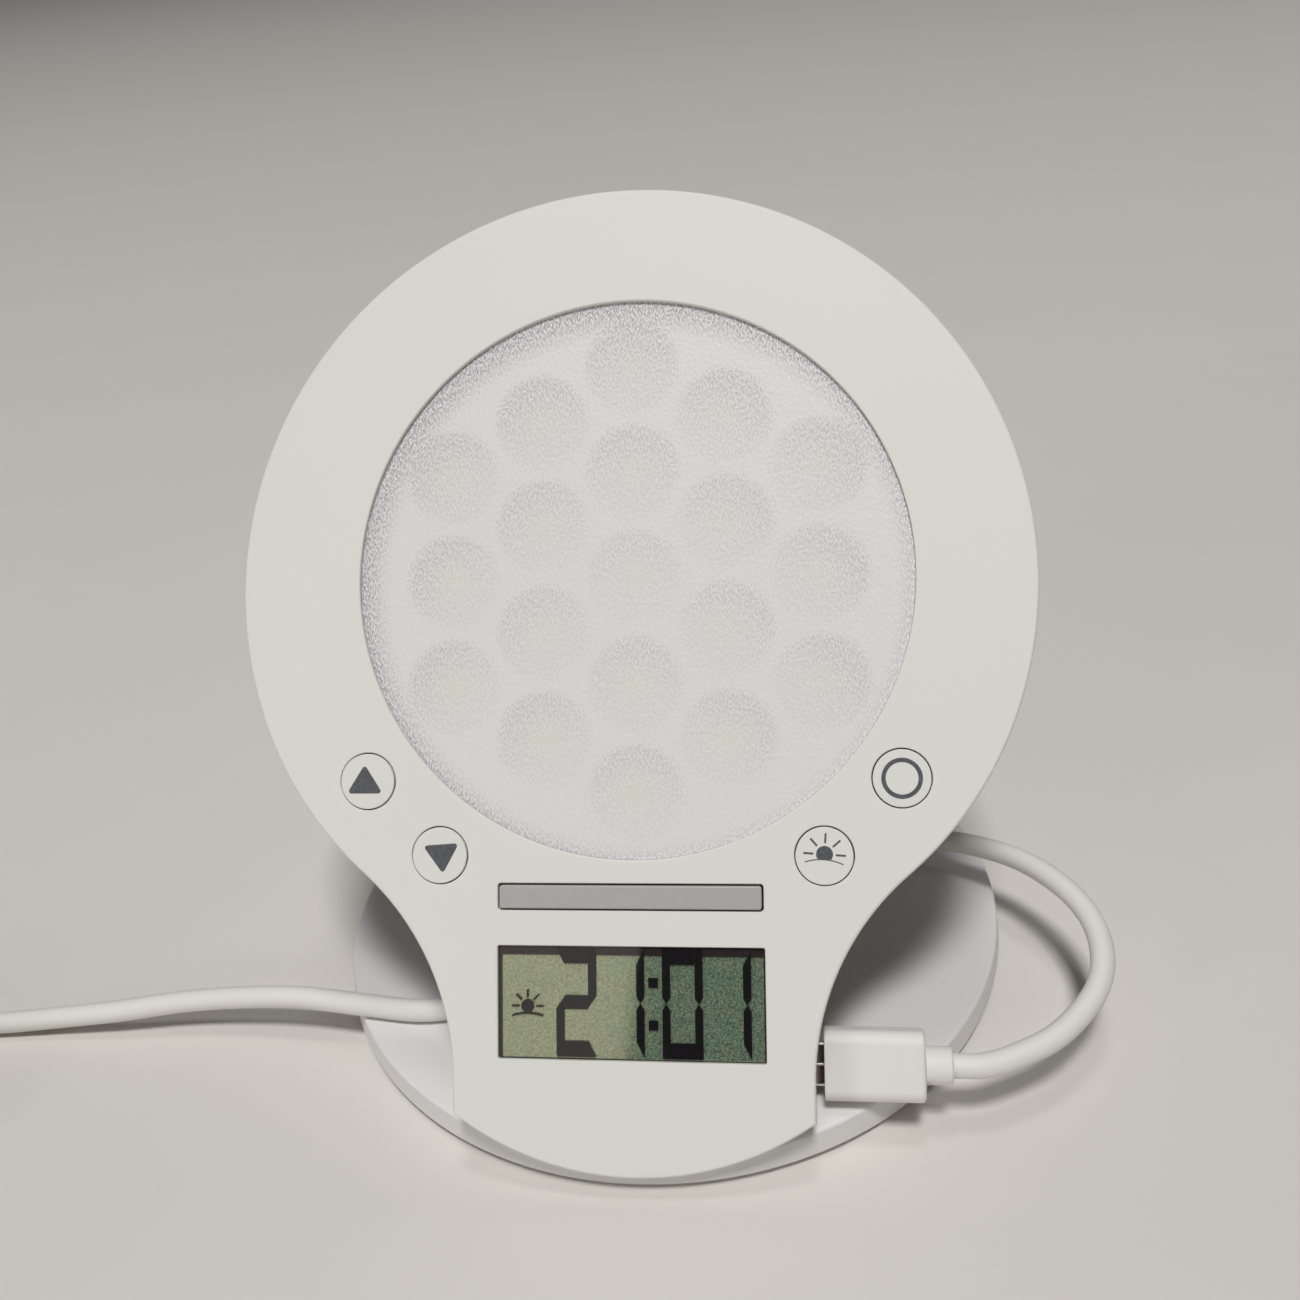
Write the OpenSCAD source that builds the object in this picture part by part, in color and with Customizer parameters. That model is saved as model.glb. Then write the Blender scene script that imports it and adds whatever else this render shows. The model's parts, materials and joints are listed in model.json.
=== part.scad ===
// Wake-up light: a round lamp head with a clock display and keys, leaning on a round weighted base,
// with its power lead plugged into the side of the head.
// Frame: origin at the centre of the foot pad's underside, +Z up, the lamp faces -Y, +X is its right.
// In the head's own frame u runs right, v runs up the front panel and d runs back into the head.

/* [Head] */
// Radius of the round part of the head
head_r = 63; // [58:0.5:72]
// Height of the round part's centre above the lowest edge, along the panel
disc_rise = 91.5; // [88:0.5:100]
// Overall thickness of the head
head_depth = 15.5; // [15:0.1:20]
// Angle that the head leans back from upright, in degrees
head_lean = 34; // [28:0.5:40]
// Width of the display tab below the round part
tab_w = 56.4; // [54:0.2:66]
// Radius of the tab's curved lower edge
tab_arc_r = 44; // [38:0.5:60]
// Radius of the hollow between the round part and the tab
neck_r = 30; // [20:0.5:45]
// Distance that the lowest edge stands in front of the base
toe_reach = 2.5; // [2.2:0.1:6]
// Height of the lowest edge above the table
toe_lift = 4.5; // [4:0.1:8]
// Thickness of the front panel
panel_t = 2.5; // [2:0.1:3]
// Wall of the rear shell
shell_wall = 1.8; // [1.2:0.1:2.2]
// Step from the panel's edge in to the rear shell
shell_step = 0.6; // [0.3:0.1:1.2]

/* [Light] */
// Radius of the light opening
window_r = 43.7; // [40:0.1:44.5]
// Height of the light opening's centre above the round part's centre
window_rise = 0.5; // [0:0.1:1]
// Width of the diffuser's flange behind the panel
flange_w = 1.7; // [1.2:0.1:1.9]
// Thickness of the diffuser's flange
flange_t = 1.3; // [1:0.1:1.6]
// Depth of the diffuser's face behind the panel's face
diffuser_recess = 0.8; // [0.3:0.1:1.5]
// Distance between the reflector cups
cup_pitch = 16.8; // [15.5:0.1:17]
// Radius of a cup's mouth
cup_r = 7.2; // [6:0.1:7.6]
// Radius of the hole in a cup's floor
cup_floor_r = 2.8; // [2.6:0.1:4]
// Depth of the cups
cup_depth = 6; // [5:0.1:6.3]
// Side of a square light emitting diode
led_side = 3.5; // [2.8:0.1:3.6]
// Height of a light emitting diode
led_h = 0.7; // [0.4:0.1:1]
// Thickness of both circuit boards
board_t = 1.2; // [0.8:0.1:1.4]

/* [Display] */
// Width of the display opening
lcd_w = 41.8; // [36:0.2:42.6]
// Height of the display opening
lcd_h = 17.2; // [14:0.2:18]
// Height of the display's centre above the lowest edge
lcd_rise = 26.4; // [25.6:0.1:27]
// Margin of the display glass behind the opening's edge
lcd_margin = 1.6; // [1:0.1:2]
// Thickness of the display glass
lcd_t = 2.5; // [1.8:0.1:3]
// Wall of the frame around the display glass
lcd_wall = 1; // [0.8:0.1:1.2]

/* [Keys] */
// Radius of a round key
key_r = 4.25; // [3.5:0.05:4.4]
// Gap between a key and the panel, all round
key_gap = 0.3; // [0.2:0.05:0.4]
// Radius of the circle that the keys sit on, about the round part's centre
key_circle_r = 52; // [51.5:0.1:54]
// Angle of the upper keys below the round part's centre line
key_upper_a = 36.2; // [32:0.1:37]
// Angle of the lower keys below the round part's centre line
key_lower_a = 54.6; // [53:0.1:57]
// Distance that the keys stand proud of the panel
key_proud = 0.25; // [0:0.05:0.6]
// Travel of the keys
key_travel = 0.5; // [0.3:0.05:0.6]
// Width of the long bar key
bar_w = 41; // [30:0.2:44]
// Height of the long bar key
bar_h = 3.6; // [3:0.1:3.8]
// Height of the bar key's centre above the lowest edge
bar_rise = 42.7; // [42.4:0.1:43]

/* [Hinge] */
// Height of the hinge pin above the lowest edge, along the panel
hinge_rise = 26; // [24:0.5:32]
// Distance of the hinge pin behind the head's back
hinge_back = 4.8; // [4.7:0.1:7]
// Radius of the hinge pin
pin_r = 2; // [1.5:0.1:2.4]
// Radial running clearance on the hinge pin
pin_gap = 0.03; // [0.02:0.01:0.08]
// Radius of the hinge knuckles
knuckle_r = 4.2; // [3.6:0.1:4.3]
// Length of the middle knuckle on the base
knuckle_mid_w = 18; // [12:0.5:20]
// Length of each outer knuckle on the head
knuckle_side_w = 8; // [5:0.5:9]
// Thickness of a friction washer
washer_t = 0.5; // [0.3:0.05:0.8]
// Thickness of the hinge leaf
leaf_t = 2; // [1.5:0.1:2.4]
// Width of the hinge leaf
leaf_w = 51; // [48:0.5:52]

/* [Base] */
// Radius of the base
base_r = 60; // [55:0.5:72]
// Height of the base above the table
base_t = 5.8; // [5.6:0.1:7]
// Wall of the base cover
base_wall = 1.8; // [1.4:0.1:2]
// Size of the eased top edge
base_ease = 0.7; // [0.3:0.1:1.2]
// Thickness of the foot pad
pad_t = 0.6; // [0.4:0.1:1]
// Thickness of the base floor
floor_t = 1.2; // [1:0.1:1.4]
// Thickness of the steel weight plate
weight_t = 1.8; // [1:0.1:1.9]

/* [Cord] */
// Diameter of the power lead
cord_d = 4; // [3:0.1:4.2]
// Width of the small plug's grip
plug_w = 11; // [9.5:0.1:11.4]
// Thickness of the small plug's grip
plug_t = 6.2; // [5:0.1:6.4]
// Length of the small plug's grip
plug_len = 15.6; // [12:0.1:18]
// Radius of the small plug's collar
collar_r = 2.95; // [2.2:0.05:3]
// Length of the small plug's collar
collar_len = 4.2; // [3:0.1:6]
// Number of turns in the coil of spare lead
coil_turns = 5.25; // [3.25:1:7.25]
// Outer radius of the coil, to the lead's centre
coil_r = 26.5; // [24:0.5:32]
// Width of the tie on the coil
tie_w = 7; // [4:0.5:12]

/* [Hidden] */
$fn = 64;

// Clearances
seat_gap = 0.1;
fit_gap = 0.2;
free_gap = 0.3;
heel_gap = 0.5;
heel_z = base_t + heel_gap;
cut = 1;

// Head outline: the hollow's centre, and the angle at which it meets the round part
tab_hw = tab_w / 2;
neck_u = tab_hw + neck_r;
neck_v = disc_rise - sqrt(pow(head_r + neck_r, 2) - pow(neck_u, 2));
neck_a = atan2(disc_rise - neck_v, -neck_u);
toe_y = -(base_r + toe_reach);

// Depths of the layers in the head
back_d = head_depth - shell_wall;
light_v = disc_rise + window_rise;
light_r = window_r + flange_w;
reflector_d = panel_t + flange_t;
led_board_d = reflector_d + cup_depth;
rib_d = led_board_d + board_t;
rib_edge = 3;
rib_r = window_r - rib_edge;
rib_w = 1.6;
glass_w = lcd_w + 2 * lcd_margin;
glass_h = lcd_h + 2 * lcd_margin;
frame_w = glass_w + 2 * (lcd_wall + seat_gap);
frame_h = glass_h + 2 * (lcd_wall + seat_gap);
strip_t = 2.5;
strip_h = 1.6;
board_d = panel_t + lcd_t + strip_t;
board_back = board_d + board_t;
board_edge = 0.4;
board_clear = 1.6;
board_low = (heel_z + shell_wall + free_gap - toe_lift + board_back * sin(head_lean)) / cos(head_lean);
board_drop = 13.5;
board_high = disc_rise - board_drop;
ribbon_w = 8;
ribbon_t = 0.4;
ribbon_lap = 2.5;

// Keys: a cap, a flange that the panel keeps in, and a stem over a small switch
key_flange = 1.15;
key_flange_t = 0.8;
key_flange_d = panel_t + free_gap;
stem_r = 1.6;
switch_side = 4.5;
switch_t = 1.5;
switch_plunger_r = 1.3;
switch_plunger_t = 0.8;
stem_d = board_d - switch_t - switch_plunger_t - key_travel - seat_gap;
key_spots = [for (s = [[-1, key_upper_a], [-1, key_lower_a], [1, key_lower_a], [1, key_upper_a]])
    [s[0] * key_circle_r * cos(s[1]), disc_rise - key_circle_r * sin(s[1])]];
bar_flange = 0.8;
bar_spot = [0, bar_rise];
switch_spots = concat(key_spots, [bar_spot]);

// Screws: one size of self-tapping screw holds everything
screw_r = 1.15;
screw_bore_r = 1.2;
screw_hole_r = 1.4;
screw_head_r = 2.2;
screw_head_t = 1.4;
boss_r = 2.4;
boss_len = 6;
pillar_r = 3.4;
pillar_d = panel_t + boss_len;
counterbore_t = screw_head_t + free_gap;
shell_screw_edge = 7;
shell_screw_angles = [25, 90, 155];
shell_screw_circle_r = head_r - shell_screw_edge;
shell_screw_low = [
    frame_w / 2 + fit_gap + boss_r + shell_step + shell_wall,
    lcd_rise + (frame_h + shell_wall) / 2
];
shell_screw_spots = concat(
    [for (a = shell_screw_angles) [0, disc_rise] + shell_screw_circle_r * [cos(a), sin(a)]],
    [for (s = [-1, 1]) [s * shell_screw_low[0], shell_screw_low[1]]]);
board_screw_a = 22;
board_screw_high = [key_circle_r * cos(board_screw_a), disc_rise - key_circle_r * sin(board_screw_a)];
board_screw_drop = 2;
board_screw_low = [frame_w / 2 + fit_gap + boss_r, lcd_rise + lcd_h / 2 - board_screw_drop];
board_screw_spots = [for (p = [board_screw_high, board_screw_low]) for (s = [-1, 1]) [s * p[0], p[1]]];
board_screw_len = 5;

// Small parts on the back of the control board
buzzer_r = 5;
buzzer_t = 3.4;
buzzer_a = 232;
buzzer_circle_r = (light_r + head_r - shell_step - shell_wall) / 2;
buzzer_spot = [0, light_v] + buzzer_circle_r * [cos(buzzer_a), sin(buzzer_a)];
buzzer_hole_r = 0.7;
buzzer_hole_circle_r = 2.6;
cell_r = 8;
cell_t = 3.2;
cell_drop = 0.4;
cell_spot = [0, lcd_rise - cell_drop];

// Hinge
hinge_d = head_depth + hinge_back;
hinge_axis = in_frame(0, hinge_rise, hinge_d);
washer_gap = 0.05;
knuckle_side_u = knuckle_mid_w / 2 + washer_t + 2 * washer_gap;
knuckle_end_u = knuckle_side_u + knuckle_side_w;
leaf_low = 8;
leaf_high = 12.5;
leaf_notch_gap = 1.3;
leaf_screw_edge = 4;
leaf_screw_rows = [-4, 8];
leaf_screw_u = leaf_w / 2 - leaf_screw_edge;
leaf_screw_spots = [for (s = [-1, 1]) for (v = leaf_screw_rows) [s * leaf_screw_u, hinge_rise + v]];
leaf_screw_len = 5.4;
leaf_boss_len = 2.2;
pin_head_r = hinge_back - leaf_t - free_gap;
pin_head_t = 1.3;
pin_tip = 1;
clip_t = 0.8;
clip_r = pin_head_r;
clip_mouth = 1.4 * pin_r;
clip_u = -knuckle_end_u - washer_gap - clip_t;
block_w = 32;
block_front = 6;
block_back = 8;
block_foot_t = 3;
block_screw_edge = 3.5;
block_screw_rows = [-3, 5];
block_screw_u = block_w / 2 - block_screw_edge;
block_screw_spots = [for (s = [-1, 1]) for (y = block_screw_rows) [s * block_screw_u, hinge_axis[1] + y]];

// Base: foot pad, floor, weight plate and cover, from the table up
rim_wall = 2;
pad_edge = 10;
pad_r = base_r - pad_edge;
floor_r = base_r - rim_wall - fit_gap;
floor_top = pad_t + floor_t;
weight_edge = 3;
weight_r = base_r - rim_wall - weight_edge;
cover_under = base_t - base_wall;
base_boss_r = 3;
base_screw_edge = 15;
base_screw_circle_r = base_r - base_screw_edge;
base_screw_head_t = 0.8;
base_screw_spots = [for (a = [45:90:315]) [base_screw_circle_r * cos(a), base_screw_circle_r * sin(a)]];

// Small plug and its socket, in the right side of the tab
plug_v = 15.8;
plug_stand = 1.2;
plug_round = 2.4;
shell_w = 6.85;
shell_t = 1.8;
shell_in = 5;
socket_wall = 0.3;
socket_gap = 0.06;
socket_len = 5.6;
socket_mouth = 1;
socket_w = shell_w + 2 * (socket_wall + socket_gap);
socket_t = shell_t + 2 * (socket_wall + socket_gap);
plug_d = board_back + socket_t / 2;
grip_u = tab_hw + plug_stand;
collar_u = grip_u + plug_len;
exit_u = collar_u + collar_len;

// Power lead: where it lies, from the small plug to the coil, as points on its centre line
cord_r = cord_d / 2;
cord_sides = 10;
cord_route = [
    [58, -45, 12], [67, -38.5, 11.5], [74, -27, 11], [76.5, -15, 10.5], [74, -3, 10], [66, 8, 9.5],
    [54, 14, 9], [40, 15, 8.5], [24, 11, 8], [8, 3, 8], [-8, -7, 8], [-20, -18, 8], [-29, -27, 8],
    [-39, -31.5, 8], [-51, -30.5, 8], [-64, -28.5, 7.5], [-76, -27.5, 6], [-88, -27.5, 4.5],
    [-100, -28.5, 3], [-112, -29.5, 2.2], [-124, -31, 2.2], [-136, -32.5, 2.7]
];
cord_steps = 2;

// Coil of spare lead on the table, in two layers, with a tie round it and the wall plug at its end
coil_centre = [-150, -60];
coil_start_a = 90;
coil_gap = 0.5;
coil_step = cord_d + coil_gap;
coil_rings = 24;
coil_sides = 6;
tie_t = 0.7;
tie_round = 1.5;
tie_a = 270;
coil_z = cord_r + tie_t + free_gap;
tail_flat = 9;
tail_drop = 17;
usb_a_w = 15.6;
usb_a_t = 8;
usb_a_len = 21;
usb_a_round = 2;
usb_a_z = usb_a_t / 2;
usb_a_shell_w = 12;
usb_a_shell_t = 4.5;
usb_a_shell_len = 18.7;
usb_a_shell_wall = 0.35;
usb_a_tongue_t = 1.8;
usb_a_tongue_back = 1;
relief_len = 8;
relief_thin = 0.6;
relief_thick = 1.3;
relief_r0 = cord_r + relief_thin;
relief_r1 = cord_r + relief_thick;

white = "#dddcd6";
soft_white = "#e3e1dc";
grey = "#b3b2ae";
steel = "#b8babd";
board_green = "#2f6b46";
dark = "#3a3b40";

// Points of an arc about c, from angle a0 to a1 in n steps
function arc(c, r, a0, a1, n) =
    [for (i = [0:n]) let (a = a0 + (a1 - a0) * i / n) c + r * [cos(a), sin(a)]];

// Points of a rectangle with round corners, centred on the origin
function round_rect(w, h, r, n = 6) = [
    for (q = [[1, 1, 0], [-1, 1, 90], [-1, -1, 180], [1, -1, 270]])
        each arc([q[0] * (w / 2 - r), q[1] * (h / 2 - r)], r, q[2], q[2] + 90, n)
];

// Outline of the head, drawn in by g all round
function head_outline(g) =
    let (
        bottom_a = asin((tab_hw - g) / (tab_arc_r - g)),
        disc_a = neck_a - 180
    )
    concat(
        arc([0, tab_arc_r], tab_arc_r - g, 270 - bottom_a, 270 + bottom_a, 12),
        arc([neck_u, neck_v], neck_r + g, 180, neck_a, 8),
        arc([0, disc_rise], head_r - g, disc_a + 4, 176 - disc_a, 68),
        arc([-neck_u, neck_v], neck_r + g, 180 - neck_a, 0, 8));

// A point of the head in the part's frame
function in_frame(u, v, d) = [
    u,
    toe_y + v * sin(head_lean) + d * cos(head_lean),
    toe_lift + v * cos(head_lean) - d * sin(head_lean)
];

exit_point = in_frame(exit_u, plug_v, plug_d);

// Catmull-Rom curve through a list of points
function curve_point(p, i, t) =
    let (a = p[max(i - 1, 0)], b = p[i], c = p[i + 1], d = p[min(i + 2, len(p) - 1)])
    0.5 * (2 * b + (c - a) * t + (2 * a - 5 * b + 4 * c - d) * t * t + (3 * b - a - 3 * c + d) * t * t * t);
function curve(p, steps) = concat(
    [for (i = [0:len(p) - 2]) for (k = [0:steps - 1]) curve_point(p, i, k / steps)],
    [p[len(p) - 1]]);

// Direction of a path at point i, and the two directions square to it
function unit(v) = v / norm(v);
function heading(p, i) = unit(p[min(i + 1, len(p) - 1)] - p[max(i - 1, 0)]);
function sideways(p, i) = unit(cross(heading(p, i), [0, 0, 1]));

// Coil: angle in turns from its start, radius in and out again, and a climb where the spiral turns
function coil_radius(t) = coil_r - coil_step * min(t, coil_turns - t);
function coil_height(t) =
    let (k = min(1, max(0, (t - coil_turns / 2 + 0.25) / 0.5)))
    coil_z + coil_step * (1 - cos(180 * k)) / 2;
function coil_point(t) =
    let (a = coil_start_a + 360 * t)
    [coil_centre[0] + coil_radius(t) * cos(a), coil_centre[1] + coil_radius(t) * sin(a), coil_height(t)];
tail_a = coil_start_a + 360 * coil_turns;
tail_dir = [-sin(tail_a), cos(tail_a), 0];
tail_top = coil_z + coil_step;
function tail_point(s) =
    let (k = min(1, max(0, (s - tail_flat) / tail_drop)))
    coil_point(coil_turns) + tail_dir * s + [0, 0, (usb_a_z - tail_top) * (1 - cos(180 * k)) / 2];
tail_len = tail_flat + tail_drop + cord_d;
coil_begin = coil_point(0) + [cord_d, 0, 0];
coil_steps = round(coil_rings * coil_turns);
coil_path = concat(
    [coil_begin],
    [for (i = [0:coil_steps]) coil_point(i / coil_rings)],
    [for (s = [tail_flat, tail_flat + tail_drop / 4, tail_flat + tail_drop / 2, tail_flat + tail_drop * 3 / 4,
        tail_flat + tail_drop, tail_len]) tail_point(s)]);
lead_path = concat(
    [exit_point],
    curve(concat([exit_point + [cord_d, 0, 0]], cord_route, [coil_begin + [cord_d, 0, 0]]), cord_steps),
    [coil_begin]);

// Least gap of the coil to itself, between points more than half a turn apart
coil_self_gap = min([for (i = [0:len(coil_path) - 1]) for (j = [i + coil_rings / 2:1:len(coil_path) - 1])
    norm(coil_path[i] - coil_path[j])]) - cord_d;
function path_length(p) = sum_to([for (i = [1:len(p) - 1]) norm(p[i] - p[i - 1])]);
function sum_to(v, i = 0) = i == len(v) ? 0 : v[i] + sum_to(v, i + 1);
echo(coil_self_gap = coil_self_gap, cord_length = path_length(lead_path) + path_length(coil_path));

// Places its children in the head's frame
module on_head() {
    translate([0, toe_y, toe_lift]) rotate([-head_lean, 0, 0]) children();
}

// A flat shape in u and v, from depth d for a thickness t
module slab(d, t) {
    translate([0, d + t, 0]) rotate([90, 0, 0]) linear_extrude(t) children();
}

// A round rod through the head, from depth d for a length t
module rod(spot, r, d, t) {
    slab(d, t) translate(spot) circle(r);
}

// A rod along X
module cross_rod(x, r, w) {
    translate([x, 0, 0]) rotate([0, 90, 0]) cylinder(r = r, h = w);
}

// A self-tapping screw in the head, with its head's top at depth d, pointing forward
module head_screw(spot, d, head_t, shank) {
    rod(spot, screw_head_r, d - head_t, head_t);
    rod(spot, screw_r, d - head_t - shank, shank);
}

// A tube of radius r along a path
module tube(path, r, sides) {
    n = len(path);
    rings = [for (i = [0:n - 1])
        let (h = heading(path, i), s = sideways(path, i), up = cross(s, h))
        for (k = [0:sides - 1]) path[i] + r * (cos(360 * k / sides) * s + sin(360 * k / sides) * up)];
    walls = [for (i = [0:n - 2]) for (k = [0:sides - 1])
        let (a = i * sides + k, b = i * sides + (k + 1) % sides)
        each [[a, a + sides, b], [b, a + sides, b + sides]]];
    first_cap = [for (k = [1:sides - 2]) [0, k, k + 1]];
    last_cap = [for (k = [1:sides - 2]) (n - 1) * sides * [1, 1, 1] + [0, k + 1, k]];
    polyhedron(points = rings, faces = concat(walls, first_cap, last_cap));
}

// Everything below height z
module below(z) {
    reach = 4 * head_r;
    translate([-reach / 2, -reach / 2, z - reach]) cube(reach);
}

// Base

module base_cover() {
    color(white) difference() {
        union() {
            rotate_extrude($fn = 128) polygon(concat(
                [[0, base_t], [0, cover_under], [base_r - rim_wall, cover_under], [base_r - rim_wall, pad_t],
                    [base_r, pad_t]],
                arc([base_r - base_ease, base_t - base_ease], base_ease, 0, 90, 4)));
            for (s = base_screw_spots) translate([s[0], s[1], floor_top])
                cylinder(r = base_boss_r, h = cover_under - floor_top);
        }
        for (s = base_screw_spots) translate([s[0], s[1], floor_top - cut])
            cylinder(r = screw_bore_r, h = cover_under - floor_top + cut);
        for (s = block_screw_spots) translate([s[0], s[1], cover_under - cut])
            cylinder(r = screw_hole_r, h = base_wall + 2 * cut);
    }
}

module base_floor() {
    color(grey) difference() {
        translate([0, 0, pad_t]) cylinder(r = floor_r, h = floor_t);
        for (s = base_screw_spots) translate([s[0], s[1], pad_t - cut]) {
            cylinder(r = screw_hole_r, h = floor_t + 2 * cut);
            cylinder(r = screw_head_r + fit_gap, h = base_screw_head_t + cut);
        }
    }
}

module weight_plate() {
    color(steel) difference() {
        translate([0, 0, floor_top]) cylinder(r = weight_r, h = weight_t);
        for (s = base_screw_spots) translate([s[0], s[1], floor_top - cut])
            cylinder(r = base_boss_r + free_gap, h = weight_t + 2 * cut);
        for (s = block_screw_spots) translate([s[0], s[1], floor_top - cut])
            cylinder(r = screw_head_r + free_gap, h = weight_t + 2 * cut);
    }
}

module foot_pad() {
    color(dark) cylinder(r = pad_r, h = pad_t);
}

module base_screws() {
    color(steel) for (s = base_screw_spots) translate([s[0], s[1], pad_t]) {
        cylinder(r = screw_head_r, h = base_screw_head_t);
        cylinder(r = screw_r, h = cover_under - pad_t - fit_gap);
    }
}

// Hinge

module hinge_block() {
    low = hinge_axis[1] - block_front;
    color(grey) difference() {
        union() {
            translate([-block_w / 2, low, base_t]) cube([block_w, block_front + block_back, block_foot_t]);
            translate([-knuckle_mid_w / 2, hinge_axis[1] - knuckle_r, base_t])
                cube([knuckle_mid_w, 2 * knuckle_r, hinge_axis[2] - base_t]);
            translate(hinge_axis) cross_rod(-knuckle_mid_w / 2, knuckle_r, knuckle_mid_w);
        }
        translate(hinge_axis) cross_rod(-knuckle_mid_w / 2 - cut, pin_r + pin_gap, knuckle_mid_w + 2 * cut);
        for (s = block_screw_spots) translate([s[0], s[1], base_t - cut])
            cylinder(r = screw_bore_r, h = block_foot_t + 2 * cut);
    }
}

module block_screws() {
    color(steel) for (s = block_screw_spots) translate([s[0], s[1], cover_under - screw_head_t]) {
        cylinder(r = screw_head_r, h = screw_head_t);
        cylinder(r = screw_r, h = screw_head_t + base_wall + block_foot_t - fit_gap);
    }
}

module hinge_pin() {
    color(steel) translate(hinge_axis) {
        cross_rod(clip_u - pin_tip, pin_r, knuckle_end_u + washer_gap - clip_u + pin_tip);
        cross_rod(knuckle_end_u + washer_gap, pin_head_r, pin_head_t);
    }
}

module pin_clip() {
    color(steel) translate(hinge_axis) difference() {
        cross_rod(clip_u, clip_r, clip_t);
        cross_rod(clip_u - cut, pin_r + pin_gap, clip_t + 2 * cut);
        translate([clip_u - cut, -clip_mouth / 2, 0]) cube([clip_t + 2 * cut, clip_mouth, clip_r + cut]);
    }
}

module friction_washers() {
    washer_u = knuckle_mid_w / 2 + washer_gap;
    color(steel) translate(hinge_axis) for (x = [-washer_u - washer_t, washer_u]) difference() {
        cross_rod(x, knuckle_r - fit_gap, washer_t);
        cross_rod(x - cut, pin_r + pin_gap, washer_t + 2 * cut);
    }
}

module hinge_leaf() {
    notch_w = knuckle_mid_w + 2 * (washer_t + 2 * washer_gap);
    notch_h = knuckle_r + leaf_notch_gap;
    color(grey) on_head() difference() {
        union() {
            slab(head_depth, leaf_t) translate([-leaf_w / 2, hinge_rise - leaf_low])
                square([leaf_w, leaf_low + leaf_high]);
            for (x = [-knuckle_end_u, knuckle_side_u]) {
                translate([x, head_depth, hinge_rise - knuckle_r])
                    cube([knuckle_side_w, hinge_back, 2 * knuckle_r]);
                translate([0, hinge_d, hinge_rise]) cross_rod(x, knuckle_r, knuckle_side_w);
            }
        }
        translate([-notch_w / 2, head_depth - cut, hinge_rise - notch_h])
            cube([notch_w, leaf_t + 2 * cut, 2 * notch_h]);
        translate([0, hinge_d, hinge_rise])
            cross_rod(-knuckle_end_u - cut, pin_r + pin_gap, 2 * (knuckle_end_u + cut));
        for (s = leaf_screw_spots) rod(s, screw_hole_r, head_depth - cut, leaf_t + 2 * cut);
    }
}

module leaf_screws() {
    color(steel) on_head() for (s = leaf_screw_spots)
        head_screw(s, head_depth + leaf_t + screw_head_t, screw_head_t, leaf_screw_len);
}

// Head

module front_panel() {
    color(white) difference() {
        on_head() union() {
            slab(0, panel_t) difference() {
                polygon(head_outline(0));
                translate([0, light_v]) circle(window_r, $fn = 128);
                for (s = key_spots) translate(s) circle(key_r + key_gap);
                translate(bar_spot) square([bar_w + 2 * key_gap, bar_h + 2 * key_gap], center = true);
                translate([0, lcd_rise]) square([lcd_w, lcd_h], center = true);
            }
            for (s = shell_screw_spots) rod(s, boss_r, panel_t, boss_len);
            for (s = board_screw_spots) rod(s, boss_r, panel_t, board_d - panel_t);
        }
        on_head() {
            for (s = shell_screw_spots) rod(s, screw_bore_r, panel_t, boss_len + cut);
            for (s = board_screw_spots) rod(s, screw_bore_r, panel_t, board_d - panel_t + cut);
        }
        // Rebate where the panel's lower edge reaches over the front of the base
        cylinder(r = base_r + free_gap, h = heel_z, $fn = 128);
    }
}

module rear_shell() {
    inset = shell_step + shell_wall;
    buzzer_holes = concat([[0, 0]], [for (a = [0:60:300]) buzzer_hole_circle_r * [cos(a), sin(a)]]);
    color(white) difference() {
        on_head() slab(panel_t, head_depth - panel_t) polygon(head_outline(shell_step));
        below(heel_z);
        difference() {
            on_head() difference() {
                slab(panel_t - cut, back_d - panel_t + cut) polygon(head_outline(inset));
                for (s = shell_screw_spots) rod(s, pillar_r, pillar_d, head_depth);
                for (s = leaf_screw_spots) rod(s, boss_r, back_d - leaf_boss_len, head_depth);
                slab(rib_d, head_depth) translate([0, light_v]) difference() {
                    circle(rib_r + rib_w, $fn = 128);
                    circle(rib_r, $fn = 128);
                }
            }
            below(heel_z + shell_wall);
        }
        on_head() {
            for (s = shell_screw_spots) {
                rod(s, screw_hole_r, panel_t, head_depth);
                rod(s, screw_head_r + fit_gap, head_depth - counterbore_t, counterbore_t + cut);
            }
            for (s = leaf_screw_spots) rod(s, screw_bore_r, back_d - leaf_boss_len - cut, head_depth);
            for (h = buzzer_holes) rod(buzzer_spot + h, buzzer_hole_r, back_d - cut, head_depth);
            translate([tab_hw - inset - cut, plug_d, plug_v]) rotate([90, 0, 90])
                linear_extrude(inset + 2 * cut)
                square([socket_t + 2 * fit_gap, socket_w + 2 * fit_gap], center = true);
        }
    }
}

module shell_screws() {
    shank = head_depth - free_gap - screw_head_t - panel_t - fit_gap;
    color(steel) on_head() for (s = shell_screw_spots)
        head_screw(s, head_depth - free_gap, screw_head_t, shank);
}

module diffuser() {
    color("#eef0f4") on_head() {
        rod([0, light_v], window_r - fit_gap, diffuser_recess, panel_t - diffuser_recess);
        rod([0, light_v], light_r, panel_t, flange_t);
    }
}

// Places of the reflector cups: a hexagon of five columns
cup_spots = [for (i = [-2:2]) for (j = [0:4 - abs(i)])
    [i * cup_pitch * cos(30), light_v + (j - (4 - abs(i)) / 2) * cup_pitch]];

module reflector() {
    color("#f2f2f2") on_head() difference() {
        rod([0, light_v], light_r, reflector_d, cup_depth);
        for (s = cup_spots) translate([s[0], reflector_d, s[1]]) rotate([-90, 0, 0]) {
            cylinder(r1 = cup_r, r2 = cup_floor_r, h = cup_depth);
            translate([0, 0, -cut]) cylinder(r = cup_r, h = cut);
            translate([0, 0, cup_depth]) cylinder(r = cup_floor_r, h = cut);
        }
    }
}

module led_board() {
    color("#e9e9e6") on_head() rod([0, light_v], light_r, led_board_d, board_t);
}

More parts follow.
